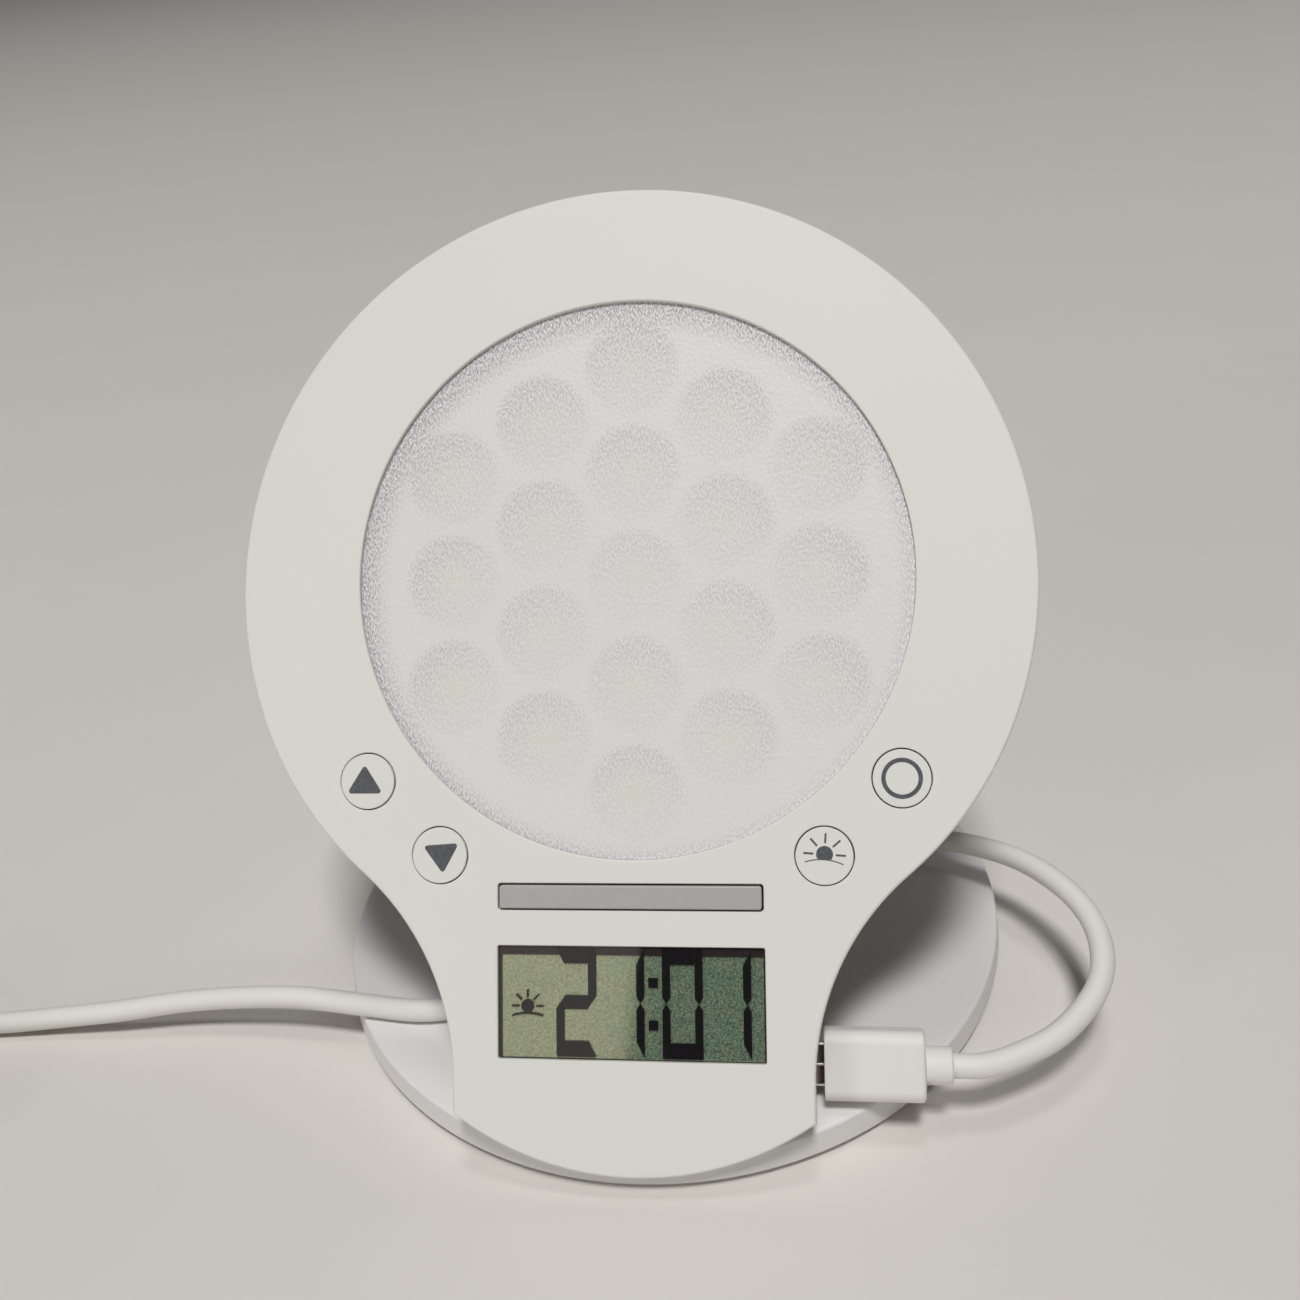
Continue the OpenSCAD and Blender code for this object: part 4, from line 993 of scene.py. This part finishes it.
class WAKELIGHT_OT_panel(Operator):
    """Front panel with the light opening, the key holes and the display opening"""
    bl_idname = "wakelight.panel"
    bl_label = "Front panel"

    bar_corner = 0.5 * MM
    display_corner = 0.3 * MM

    def execute(self, context):
        head, keys, display, base, finishes = groups(context, "head", "keys", "display", "base", "finishes")
        panel = plate([head_outline(head, 0)], -head.panel_t, 0, head.edge_round)
        depth = head.panel_t + CLEAR
        lip_r = head.window_r + head.lip_round
        lip = arc((lip_r, -head.lip_round), head.lip_round, 180, 90, 4)
        window = turned([(0, CLEAR), (0, -depth), (head.window_r, -depth), *lip, (lip_r, CLEAR)], 160)
        cut_away(panel, moved(window, Matrix.Translation(window_spot(head))))
        holes = [disc(keys.key_r + keys.gap, 72, spot) for spot in key_spots(head, keys).values()]
        holes.append(rounded(keys.bar_w + 2 * keys.bar_gap, keys.bar_h + 2 * keys.bar_gap, self.bar_corner,
                             (0, keys.bar_rise)))
        holes.append(rounded(display.opening_w, display.opening_h, self.display_corner, (0, display.rise)))
        for points in holes:
            cut_away(panel, hole(points, depth, head.hole_ease))
        moved(panel, panel_frame(head))
        reach = base.radius + base.free_gap
        heel = base.height + base.heel_gap
        cut_away(panel, turned([(0, heel), (0, -heel), (reach, -heel), (reach, heel)], 160))
        finish = moulded("satin_abs_panel", finishes.panel, 0.56, 0.45, 0.015, 0.015)
        dressed(panel, "lamp_panel", "head", finish, "white_panel", "front_panel")
        return {"FINISHED"}


class WAKELIGHT_OT_shell(Operator):
    """Rear shell with its screw recesses, sounder holes and socket slot"""
    bl_idname = "wakelight.shell"
    bl_label = "Rear shell"

    screw_play = 0.25 * MM
    sounder_hole_r = 0.7 * MM
    sounder_ring_r = 2.6 * MM
    slot_depth = 4 * MM
    slot_play = 1.12 * MM
    slot_rounds = (0.4 * MM, 0.05 * MM, 0.05 * MM)

    def execute(self, context):
        head, base, cord, screws, finishes = groups(context, "head", "base", "cord", "screws", "finishes")
        shell = wire(head_outline(head, head.shell_step))
        opened(shell)
        bpy.ops.mesh.edge_face_add()
        bpy.ops.transform.translate(value=(0, 0, -head.panel_t))
        bpy.ops.mesh.extrude_region_move(TRANSFORM_OT_translate={"value": (0, 0, head.panel_t - head.depth)})
        bpy.ops.mesh.region_to_loop()
        bpy.ops.mesh.bevel(offset=head.back_round, segments=6, affect="EDGES")
        closed()
        opened(tidied(moved(shell, panel_frame(head))))
        bpy.ops.mesh.bisect(plane_co=(0, 0, base.height + base.heel_gap), plane_no=(0, 0, 1), use_fill=True,
                            clear_inner=True)
        closed()
        pick(tidied(shell), "FACE", lambda face: face.normal.dot(-PRESS) > SAME_WAY)
        bpy.ops.mesh.delete(type="FACE")
        closed()
        applied(shell, "SOLIDIFY", thickness=head.shell_wall, offset=-1, use_even_offset=True)
        for cutter in self.cutters(head, cord, screws):
            cut_away(shell, moved(cutter, panel_frame(head)))
        finish = moulded("satin_abs_shell", finishes.shell, 0.45, 0.5, 0.02, 0.015)
        dressed(shell, "lamp_shell", "head", finish, "white_shell", "rear_shell")
        return {"FINISHED"}

    def cutters(self, head, cord, screws):
        """Cutters for the screw recesses, the screw holes, the sounder holes and the socket slot."""
        spots = shell_screw_spots(head, screws)
        sounder = (Vector((0, head.disc_rise))
                   + head.sounder_r * Vector((math.cos(head.sounder_a), math.sin(head.sounder_a))))
        reach = [Vector((self.sounder_ring_r, 0))]
        ring = [Vector((0, 0))] + [spun(reach, a)[0] for a in range(0, 360, 60)]
        below, through = -head.depth - CLEAR, -head.depth + head.shell_wall + CLEAR
        bored = -head.depth + screws.sunk + screws.head_t
        yield plate([disc(screws.bore_r, 40, spot) for spot in spots], below, bored)
        yield plate([disc(screws.shank_r + self.screw_play, 24, spot) for spot in spots], below, through)
        yield plate([disc(self.sounder_hole_r, 24, sounder + offset) for offset in ring], below, through)
        slot = block(self.slot_depth, cord.tip_w + self.slot_play, cord.tip_t + self.slot_play,
                     *self.slot_rounds)
        yield moved(slot, move(head.tab_w / 2 - head.shell_step, cord.plug_rise, -cord.plug_depth))


class WAKELIGHT_OT_diffuser(Operator):
    """Frosted diffuser in the light opening"""
    bl_idname = "wakelight.diffuser"
    bl_label = "Diffuser"

    play = 0.02 * MM
    edge = 0.04 * MM

    def execute(self, context):
        head, finishes = groups(context, "head", "finishes")
        face_r, flange_r = head.window_r - self.play, head.window_r + head.flange_w
        back = -head.panel_t - head.flange_t
        rim = arc((face_r - self.edge, -head.recess - self.edge), self.edge, 90, 0, 4)
        lens = turned([(0, -head.recess), *rim, (face_r, -head.panel_t), (flange_r, -head.panel_t),
                       (flange_r, back), (0, back)], 160)
        moved(lens, panel_frame(head) @ Matrix.Translation(window_spot(head)))
        dressed(lens, "light_diffuser", "head", frosted_diffuser(head, finishes), "diffuser", "diffuser")
        return {"FINISHED"}


class WAKELIGHT_OT_keys(Operator):
    """Round keys with their printed symbols, and the long bar key"""
    bl_idname = "wakelight.keys"
    bl_label = "Keys"

    flange_gap, flange_t, flange_w = 0.3 * MM, 0.8 * MM, 1.15 * MM
    stem_r, stem_len = 1.6 * MM, 1.0 * MM
    bar_corner, bar_edge = 0.45 * MM, 0.25 * MM
    # How the symbols sit on their keys: offsets from the middle, turns in degrees, and the sun's sizes
    up_offset = Vector((-0.45, 0.4)) * MM
    down_offset = Vector((0.34, -0.6)) * MM
    down_turn, sun_turn = 4, -4
    sun = ((0, 0.25), 1.28, 0.72, (1.7, 3.2), 0.3, (2.95, 0.55, 0.16))

    def execute(self, context):
        head, keys, finishes = groups(context, "head", "keys", "finishes")
        white = moulded("satin_abs_key", finishes.key, 0.52, 0.4, 0.015, 0.012)
        ink = printed_ink("slate_ink", finishes.ink)
        symbols = {"key_up": [self.arrow(keys, 1, self.up_offset)],
                   "key_down": [spun(self.arrow(keys, -1, self.down_offset), self.down_turn)],
                   "key_sunrise": [spun(mark, self.sun_turn) for mark in rising_sun(*self.sun)],
                   "key_ring": [disc(r, 72) for r in (keys.ring_r, keys.ring_r - keys.ring_w)]}
        for name, spot in key_spots(head, keys).items():
            place = panel_frame(head) @ Matrix.Translation(spot.to_3d())
            cap = moved(self.cap(head, keys), place)
            dressed(cap, name + "_cap", name, white, "key_white", name)
            mark = moved(plate(symbols[name], keys.proud, keys.proud + keys.ink_t), place)
            dressed(mark, name + "_symbol", name, ink, "dark_plastic")
        bar = plate([rounded(keys.bar_w, keys.bar_h, self.bar_corner, (0, keys.bar_rise))],
                    -head.panel_t - self.flange_gap, keys.proud, self.bar_edge)
        grey = moulded("grey_abs_bar", finishes.bar, 0.42, 0.4, 0.015, 0.07, 0.8)
        dressed(moved(bar, panel_frame(head)), "bar_key", "snooze_bar", grey, "bar_grey", "snooze_bar")
        return {"FINISHED"}

    def cap(self, head, keys):
        """A round key: cap, flange behind the panel and stem."""
        flange_top = -head.panel_t - self.flange_gap
        flange_low = flange_top - self.flange_t
        stem_low = flange_low - self.stem_len
        flange_r = keys.key_r + self.flange_w
        rim = arc((keys.key_r - keys.edge, keys.proud - keys.edge), keys.edge, 90, 0, 5)
        return turned([(0, keys.proud), *rim, (keys.key_r, flange_top), (flange_r, flange_top),
                       (flange_r, flange_low), (self.stem_r, flange_low), (self.stem_r, stem_low),
                       (0, stem_low)], 72)

    def arrow(self, keys, way, offset):
        """A triangle that points up or down, with rounded corners."""
        half_w, half_h = keys.triangle_w / 2, way * keys.triangle_h / 2
        corners = [Vector((-half_w, -half_h)), Vector((half_w, -half_h)), Vector((0, half_h))]
        points = []
        for i, corner in enumerate(corners):
            before = (corners[i - 1] - corner).normalized()
            after = (corners[(i + 1) % 3] - corner).normalized()
            inner = (before + after).normalized()
            half = before.angle(after) / 2
            centre = corner + inner * keys.triangle_round / math.sin(half)
            out = math.degrees(math.atan2(-inner.y, -inner.x))
            sweep = 90 - math.degrees(half)
            points += arc(centre + offset, keys.triangle_round, out - way * sweep, out + way * sweep, 4)
        return points


class WAKELIGHT_OT_display(Operator):
    """Clock display: film, mask with painted shadow, and segments"""
    bl_idname = "wakelight.display"
    bl_label = "Display"

    # Segments lit in each digit: top, upper right, lower right, bottom, lower left, upper left, middle
    digit_segments = {"0": "abcdef", "1": "bc", "2": "abdeg"}
    # The digits and where their right edges are, in millimetres from the middle
    shown = (("2", -5.43), ("1", 2.13), ("0", 11.22), ("1", 18.66))
    sun = ((-16.3, -0.68), 1.02, 0.95, (1.32, 2.55), 0.27, (2.5, 0.4, 0.3))
    dot_side, dot_round = 1.5 * MM, 0.1 * MM
    dot_spots = ((3.52 * MM, 3.15 * MM), (3.52 * MM, -3.33 * MM))
    play = 0.1 * MM
    glass_corner, glass_edge = 0.4 * MM, 0.15 * MM
    film_corner, film_edge = 0.25 * MM, 0.05 * MM
    mask_corner, mask_low = 0.2 * MM, 0.12 * MM
    mask_lift, mask_gap = 0.02 * MM, 0.08 * MM
    ink_t = 0.04 * MM

    def execute(self, context):
        head, display, finishes = groups(context, "head", "display", "finishes")
        place = panel_frame(head) @ move(y=display.rise)
        wide, tall = display.opening_w, display.opening_h
        back, face = -head.panel_t, -display.sink
        shown = rounded(wide - self.play, tall - self.play, self.film_corner)
        film = plate([rounded(wide + 2 * display.margin, tall + 2 * display.margin, self.glass_corner)],
                     back - display.glass_t, back, self.glass_edge)
        combined(film, plate([shown], back - CLEAR, face, self.film_edge))
        dressed(moved(film, place), "display_film", "head", reflecting_film(finishes), "display", "lcd_glass")
        ink = printed_ink("liquid_crystal_black", finishes.segment, 1.0)
        dots = [rounded(self.dot_side, self.dot_side, self.dot_round, spot, 2) for spot in self.dot_spots]
        front = face + display.float_h
        segments = plate(self.segments(display) + dots + rising_sun(*self.sun), front - self.ink_t, front)
        dressed(moved(segments, place), "display_segments", "head", ink, "display")
        # The mask is widest along the top and at the left, where it also stands for painted shadow of the
        # opening's walls
        left, right = -wide / 2 + display.mask_and_shadow_left, wide / 2 - display.mask_right
        low, top = -tall / 2 + self.mask_low, tall / 2 - display.mask_and_shadow_top
        gap = rounded(right - left, top - low, self.mask_corner, ((left + right) / 2, (top + low) / 2))
        mask = plate([shown, gap], face + self.mask_lift, front - self.mask_gap)
        black = printed_ink("mask_and_shadow_black", finishes.mask, 1.0)
        dressed(moved(mask, place), "display_mask_and_shadow", "head", black, "dark_plastic")
        return {"FINISHED"}

    def segments(self, display):
        """Outlines of the lit segments of every digit."""
        outlines = []
        for digit, right in self.shown:
            centre = Vector((right * MM - display.digit_w / 2, 0))
            for part in self.digit_segments[digit]:
                outlines.append([centre + p for p in self.segment(part, display)])
        return outlines

    def segment(self, part, display):
        """Outline of one segment about the digit's centre: bars with mitred ends."""
        x, y, m = display.digit_w / 2, display.digit_h / 2, display.middle / 2
        upright, level, split, point = display.upright, display.level, display.split, display.point
        top = [(-x + split, y), (x - split, y), (x - split - upright, y - level),
               (-x + split + upright, y - level)]
        upper = [(x, y - split), (x, point), (x - upright / 2, split / 4), (x - upright, point),
                 (x - upright, y - level - split)]
        end = x - 2.5 * split
        middle = [(upright / 2 - end, 0), (upright - end, m), (end - upright, m),
                  (end - upright / 2, 0), (end - upright, -m), (upright - end, -m)]
        shapes = {"a": top, "d": [(a, -b) for a, b in top], "b": upper, "c": [(a, -b) for a, b in upper],
                  "f": [(-a, b) for a, b in upper], "e": [(-a, -b) for a, b in upper], "g": middle}
        return [Vector(p) for p in shapes[part]]


class WAKELIGHT_OT_base(Operator):
    """Round base: cover, floor and foot pad"""
    bl_idname = "wakelight.base"
    bl_label = "Base"

    def execute(self, context):
        base, finishes = groups(context, "base", "finishes")
        under = base.height - base.top_wall
        rim_low = base.pad_t + base.foot_rise
        rim_in = base.radius - base.rim_wall
        lean = math.degrees(math.atan2(base.draft, base.height - rim_low))
        ease = base.ease
        shoulder = arc((base.radius - base.draft - ease, base.height - ease), ease, 90, lean, 6)
        cover = turned([(0, base.height), *shoulder, (base.radius, rim_low),
                        (base.radius - base.foot_in, base.pad_t), (rim_in, base.pad_t), (rim_in, under),
                        (0, under)], 192)
        finish = moulded("satin_abs_base", finishes.base, 0.42, 0.5, 0.02, 0.012)
        dressed(cover, "base_top", "base", finish, "white_shell", "base_cover")
        painted(moulded("foam_rubber", finishes.dark, 0.85, 0.6, 0.05, 0.15), "foot_pad")
        painted(moulded("grey_abs_floor", finishes.grey, 0.5, 0.5, 0.02), "base_floor")
        return {"FINISHED"}


class WAKELIGHT_OT_hinge(Operator):
    """Hinge block, leaf, pin, clip and washers"""
    bl_idname = "wakelight.hinge"
    bl_label = "Hinge"

    pin_ease, clip_ease, washer_ease = 0.25 * MM, 0.12 * MM, 0.08 * MM

    def execute(self, context):
        base, finishes = groups(context, "base", "finishes")
        grey = moulded("glass_filled_nylon", finishes.grey, 0.5, 0.5, 0.02, 0.03)
        steel = plated_steel("zinc_plated_steel", finishes.steel, 0.28)
        for node_name, ease, name, body, finish, slot in (
                ("hinge_block", base.hinge_ease, "hinge_stand", "base", grey, "grey_plastic"),
                ("hinge_leaf", base.hinge_ease, "hinge_plate", "head", grey, "grey_plastic"),
                ("hinge_pin", self.pin_ease, "hinge_axle", "base", steel, "steel"),
                ("pin_clip", self.clip_ease, "axle_clip", "base", steel, "steel"),
                ("friction_washers", self.washer_ease, "hinge_washers", "base", steel, "steel")):
            dressed(eased_copy(node_name, ease), name, body, finish, slot, node_name)
        return {"FINISHED"}


class WAKELIGHT_OT_screws(Operator):
    """Cross-head screws of the rear shell and of the hinge leaf, and the finish of the hidden ones"""
    bl_idname = "wakelight.screws"
    bl_label = "Screws"

    shell_shank = 11.1 * MM
    leaf_shank = 5.4 * MM
    crown, taper, tip_r = 0.55 * MM, 1.1 * MM, 0.3 * MM
    cross_ease = 0.06 * MM
    # Turns of the first screw and from one to the next, in degrees
    first_turn, next_turn = 11, 37

    def execute(self, context):
        head, screws, finishes = groups(context, "head", "screws", "finishes")
        steel = plated_steel("zinc_plated_screw", finishes.steel, 0.3)
        leaf_spots = [Vector((side * screws.leaf_u, rise)) for side in (-1, 1)
                      for rise in (screws.leaf_low, screws.leaf_high)]
        for name, spots, back, shank in (
                ("shell_screw", shell_screw_spots(head, screws), head.depth - screws.sunk, self.shell_shank),
                ("leaf_screw", leaf_spots, head.depth + screws.leaf_t + screws.head_t, self.leaf_shank)):
            row = self.row(head, screws, spots, back, shank)
            dressed(row, name + "_set", "head", steel, "steel", name + "s")
        painted(steel, "block_screws", "base_screws", "board_screws")
        return {"FINISHED"}

    def row(self, head, screws, spots, back, shank):
        """Copies of one screw at several spots, each turned as it happened to be driven home."""
        places = [panel_frame(head) @ move(*spot, -back) @ quarter_turn("X", 2)
                  @ Matrix.Rotation(math.radians(self.next_turn * i + self.first_turn), 4, "Z")
                  for i, spot in enumerate(spots)]
        return copies(self.screw(screws, shank), places)

    def screw(self, screws, shank):
        """A pan-head screw along Z, with the top of its head at zero and a cross recess in it."""
        low = -screws.head_t - shank
        crown = arc((screws.head_r - self.crown, -self.crown), self.crown, 90, 0, 5)
        body = turned([(0, 0), *crown, (screws.head_r, -screws.head_t), (screws.shank_r, -screws.head_t),
                       (screws.shank_r, low + self.taper), (self.tip_r, low), (0, low)], 32)
        half, arm = screws.arm_w / 2, screws.arm
        quarter = [Vector((half, arm)), Vector((-half, arm)), Vector((-half, half))]
        cross = [point for a in range(0, 360, 90) for point in spun(quarter, a)]
        return cut_away(body, hole(cross, screws.cross_t, self.cross_ease))


class WAKELIGHT_OT_plugs(Operator):
    """Small plug in the side of the head and wall plug at the end of the lead"""
    bl_idname = "wakelight.plugs"
    bl_label = "Plugs"

    # Roundings of blocks: long edges, near end and far end
    tip_rounds = (0.4 * MM, 0.1 * MM, 0.05 * MM)
    seam_rounds = (0.12 * MM, 0.05 * MM, 0.05 * MM)
    grip_rounds = (2 * MM, 0.9 * MM, 0.4 * MM)
    groove_rounds = (0.25 * MM, 0.2 * MM, 0.2 * MM)
    window_rounds = (0.1 * MM, 0.1 * MM, 0.1 * MM)
    tongue_rounds = (0.1 * MM, 0.1 * MM, 0.2 * MM)
    contact_rounds = (0.05 * MM, 0.05 * MM, 0.05 * MM)
    collar_edge = 0.5 * MM
    seam_short, seam_w, seam_t, seam_sunk = 0.4 * MM, 0.36 * MM, 0.3 * MM, 0.1 * MM
    groove_l, groove_w, groove_t = 9 * MM, 0.9 * MM, 1 * MM
    groove_places = (-7 * MM, -5 * MM, -3 * MM)
    sheet_corner, sheet_corner_in, sheet_edge = 0.5 * MM, 0.15 * MM, 0.06 * MM
    contact_l, contact_w, contact_t = 8 * MM, 1.1 * MM, 0.3 * MM
    contact_back, contact_sunk = 5 * MM, 0.05 * MM
    contact_places = (-3.5 * MM, -1.0 * MM, 1.0 * MM, 3.5 * MM)
    relief_wall = 0.6 * MM
    rib_start, rib_pitch, rib_count = 1.2, 1.6, 4
    # The notch after each rib: steps along the relief and depths, in millimetres
    notch = ((0, 0), (0.15, 0.45), (0.65, 0.45), (0.8, 0))
    window_l, window_w = 2.2 * MM, 2.4 * MM
    window_x, window_y = 11.5 * MM, 2.6 * MM
    tongue_t, tongue_back = 1.8 * MM, 1 * MM

    def execute(self, context):
        head, cord, finishes = groups(context, "head", "cord", "finishes")
        white = moulded("overmoulded_pvc", finishes.lead, 0.62, 0.6, 0.015)
        self.small_plug(head, cord, finishes, white)
        self.wall_plug(cord, finishes, white)
        return {"FINISHED"}

    def small_plug(self, head, cord, finishes, white):
        """Grip, collar and metal tip of the plug in the head."""
        axis = panel_frame(head) @ move(head.tab_w / 2 + cord.plug_stand, cord.plug_rise, -cord.plug_depth)
        grip = block(cord.plug_len, cord.plug_w, cord.plug_t, cord.plug_round, cord.plug_near, cord.plug_end)
        moved(grip, axis @ move(cord.plug_len / 2))
        dressed(grip, "small_plug_grip", "head", white, "cord_white", "plug_grip")
        edge = self.collar_edge
        rim = arc((cord.collar_r - edge, cord.collar_len - edge), edge, 0, 90, 4)
        collar = turned([(0, 0), (cord.collar_r, 0), *rim, (0, cord.collar_len)], 48)
        moved(collar, axis @ move(cord.plug_len) @ quarter_turn("Y"))
        dressed(collar, "small_plug_collar", "head", white, "cord_white", "plug_collar")
        length = cord.tip_in + cord.plug_stand
        tip = block(length, cord.tip_w, cord.tip_t, *self.tip_rounds)
        seam = block(length - self.seam_short, self.seam_w, self.seam_t, *self.seam_rounds)
        combined(tip, moved(seam, move(z=cord.tip_t / 2 - self.seam_sunk)))
        moved(tip, axis @ move(-length / 2))
        dressed(tip, "small_plug_tip", "head", nickel_with_painted_glints(head, cord, finishes), "steel", "plug_shell")

    def wall_plug(self, cord, finishes, white):
        """Relief, grip, metal shell, tongue and contacts of the plug at the end of the lead."""
        low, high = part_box("usb_a_relief")
        axis = move((low.x + high.x) / 2, high.y, (low.z + high.z) / 2) @ quarter_turn("Z", -1)
        relief = moved(self.relief(cord, (high.x - low.x) / 2), axis @ quarter_turn("Y"))
        dressed(relief, "wall_plug_relief", "base", white, "cord_white", "usb_a_relief")
        grip = block(cord.wall_len, cord.wall_w, cord.wall_t, *self.grip_rounds)
        for x in self.groove_places:
            for side in (-1, 1):
                groove = block(self.groove_l, self.groove_w, self.groove_t, *self.groove_rounds)
                cut_away(grip, moved(groove, move(x, 0, side * cord.wall_t / 2) @ quarter_turn("Z")))
        moved(grip, axis @ move(cord.relief_len + cord.wall_len / 2))
        dressed(grip, "wall_plug_grip", "base", white, "cord_white", "usb_a_grip")
        mouth = axis @ move(cord.relief_len + cord.wall_len)
        wide, tall = cord.wall_tip_w - 2 * cord.wall_tip_wall, cord.wall_tip_t - 2 * cord.wall_tip_wall
        tip = plate([rounded(cord.wall_tip_t, cord.wall_tip_w, self.sheet_corner),
                     rounded(tall, wide, self.sheet_corner_in)], 0, cord.wall_tip_len, self.sheet_edge)
        moved(tip, quarter_turn("Y"))
        for side in (-1, 1):
            window = block(self.window_l, self.window_w, 2 * cord.wall_tip_t, *self.window_rounds)
            cut_away(tip, moved(window, move(self.window_x, side * self.window_y)))
        steel = plated_steel("nickel_plated_shell", finishes.steel, 0.24)
        dressed(moved(tip, mouth), "wall_plug_shell", "base", steel, "steel", "usb_a_shell")
        length = cord.wall_tip_len - self.tongue_back
        tongue = block(length, wide, self.tongue_t, *self.tongue_rounds)
        low_side = mouth @ move(length / 2, 0, (self.tongue_t - tall) / 2)
        black = moulded("black_nylon", finishes.dark, 0.5, 0.4, 0.02)
        dressed(moved(tongue, low_side), "wall_plug_tongue", "base", black, "dark_plastic", "usb_a_tongue")
        top = self.tongue_t / 2 - self.contact_sunk
        contact = block(self.contact_l, self.contact_w, self.contact_t, *self.contact_rounds)
        contacts = copies(contact, [low_side @ move(length / 2 - self.contact_back, y, top)
                                    for y in self.contact_places])
        gold = plated_steel("gold_plated_contact", finishes.gold, 0.22)
        dressed(contacts, "wall_plug_contacts", "base", gold, "steel")

    def relief(self, cord, thick):
        """A ribbed strain relief along Z that widens from the lead to the plug."""
        thin = cord.lead_d / 2 + self.relief_wall
        profile = [(0, 0), (thin, 0)]
        for i in range(self.rib_count):
            s = (self.rib_start + self.rib_pitch * i) * MM
            r = thin + (thick - thin) * s / cord.relief_len
            profile += [(r - deep * MM, s + along * MM) for along, deep in self.notch]
        return turned(profile + [(thick, cord.relief_len), (0, cord.relief_len)], 48)


class WAKELIGHT_OT_inside(Operator):
    """Finishes of the parts inside the head"""
    bl_idname = "wakelight.inside"
    bl_label = "Inner parts"

    def execute(self, context):
        finishes = context.scene.wakelight_finishes
        painted(moulded("white_reflector", finishes.panel, 0.3, 0.5, 0.01), "reflector")
        painted(moulded("diode_phosphor", finishes.glow, 0.4, 0.3, 0.01), "leds")
        painted(glass_cloth_board("white_solder_mask", finishes.panel), "led_board")
        painted(glass_cloth_board("green_solder_mask", finishes.mask_green), "control_board")
        painted(striped("flat_ribbon", finishes.panel, finishes.bar, 1.0, 0.45), "led_ribbon")
        painted(striped("layered_contact_rubber", finishes.strip, finishes.dark, 0.4, 0.7), "lcd_strips")
        painted(moulded("black_plastic", finishes.dark, 0.5, 0.4, 0.02),
                "lcd_frame", "tact_switches", "buzzer")
        painted(plated_steel("nickel_plated_cell", finishes.steel, 0.24), "backup_cell", "usb_socket")
        painted(plated_steel("phosphated_steel", finishes.plate, 0.5), "weight_plate")
        return {"FINISHED"}


class WAKELIGHT_PT_sidebar(Panel):
    """Sizes, colours and steps of the wake-up light"""
    bl_idname = "WAKELIGHT_PT_sidebar"
    bl_label = "Wake-up Light"
    bl_space_type = "VIEW_3D"
    bl_region_type = "UI"
    bl_category = "Wake-up Light"

    def draw(self, context):
        for step in STEPS:
            self.layout.operator(step.bl_idname)
        for name, group in GROUPS.items():
            box = self.layout.box()
            box.label(text=group.__doc__)
            settings = getattr(context.scene, name)
            for key in group.__annotations__:
                box.prop(settings, key)


GROUPS = {
    "wakelight_head": HeadSizes,
    "wakelight_keys": KeySizes,
    "wakelight_display": DisplaySizes,
    "wakelight_base": BaseSizes,
    "wakelight_cord": CordSizes,
    "wakelight_screws": ScrewSizes,
    "wakelight_finishes": Finishes,
}
STEPS = (WAKELIGHT_OT_stage, WAKELIGHT_OT_plugs, WAKELIGHT_OT_lead, WAKELIGHT_OT_panel, WAKELIGHT_OT_shell,
         WAKELIGHT_OT_diffuser, WAKELIGHT_OT_keys, WAKELIGHT_OT_display, WAKELIGHT_OT_base,
         WAKELIGHT_OT_hinge, WAKELIGHT_OT_screws, WAKELIGHT_OT_inside)


def register():
    for name, group in GROUPS.items():
        bpy.utils.register_class(group)
        setattr(bpy.types.Scene, name, PointerProperty(type=group))
    for cls in (*STEPS, WAKELIGHT_PT_sidebar):
        bpy.utils.register_class(cls)


def unregister():
    for cls in (WAKELIGHT_PT_sidebar, *reversed(STEPS)):
        bpy.utils.unregister_class(cls)
    for name, group in GROUPS.items():
        delattr(bpy.types.Scene, name)
        bpy.utils.unregister_class(group)


def main():
    register()
    for step in STEPS:
        area, name = step.bl_idname.split(".")
        getattr(getattr(bpy.ops, area), name)()


if __name__ == "__main__":
    main()
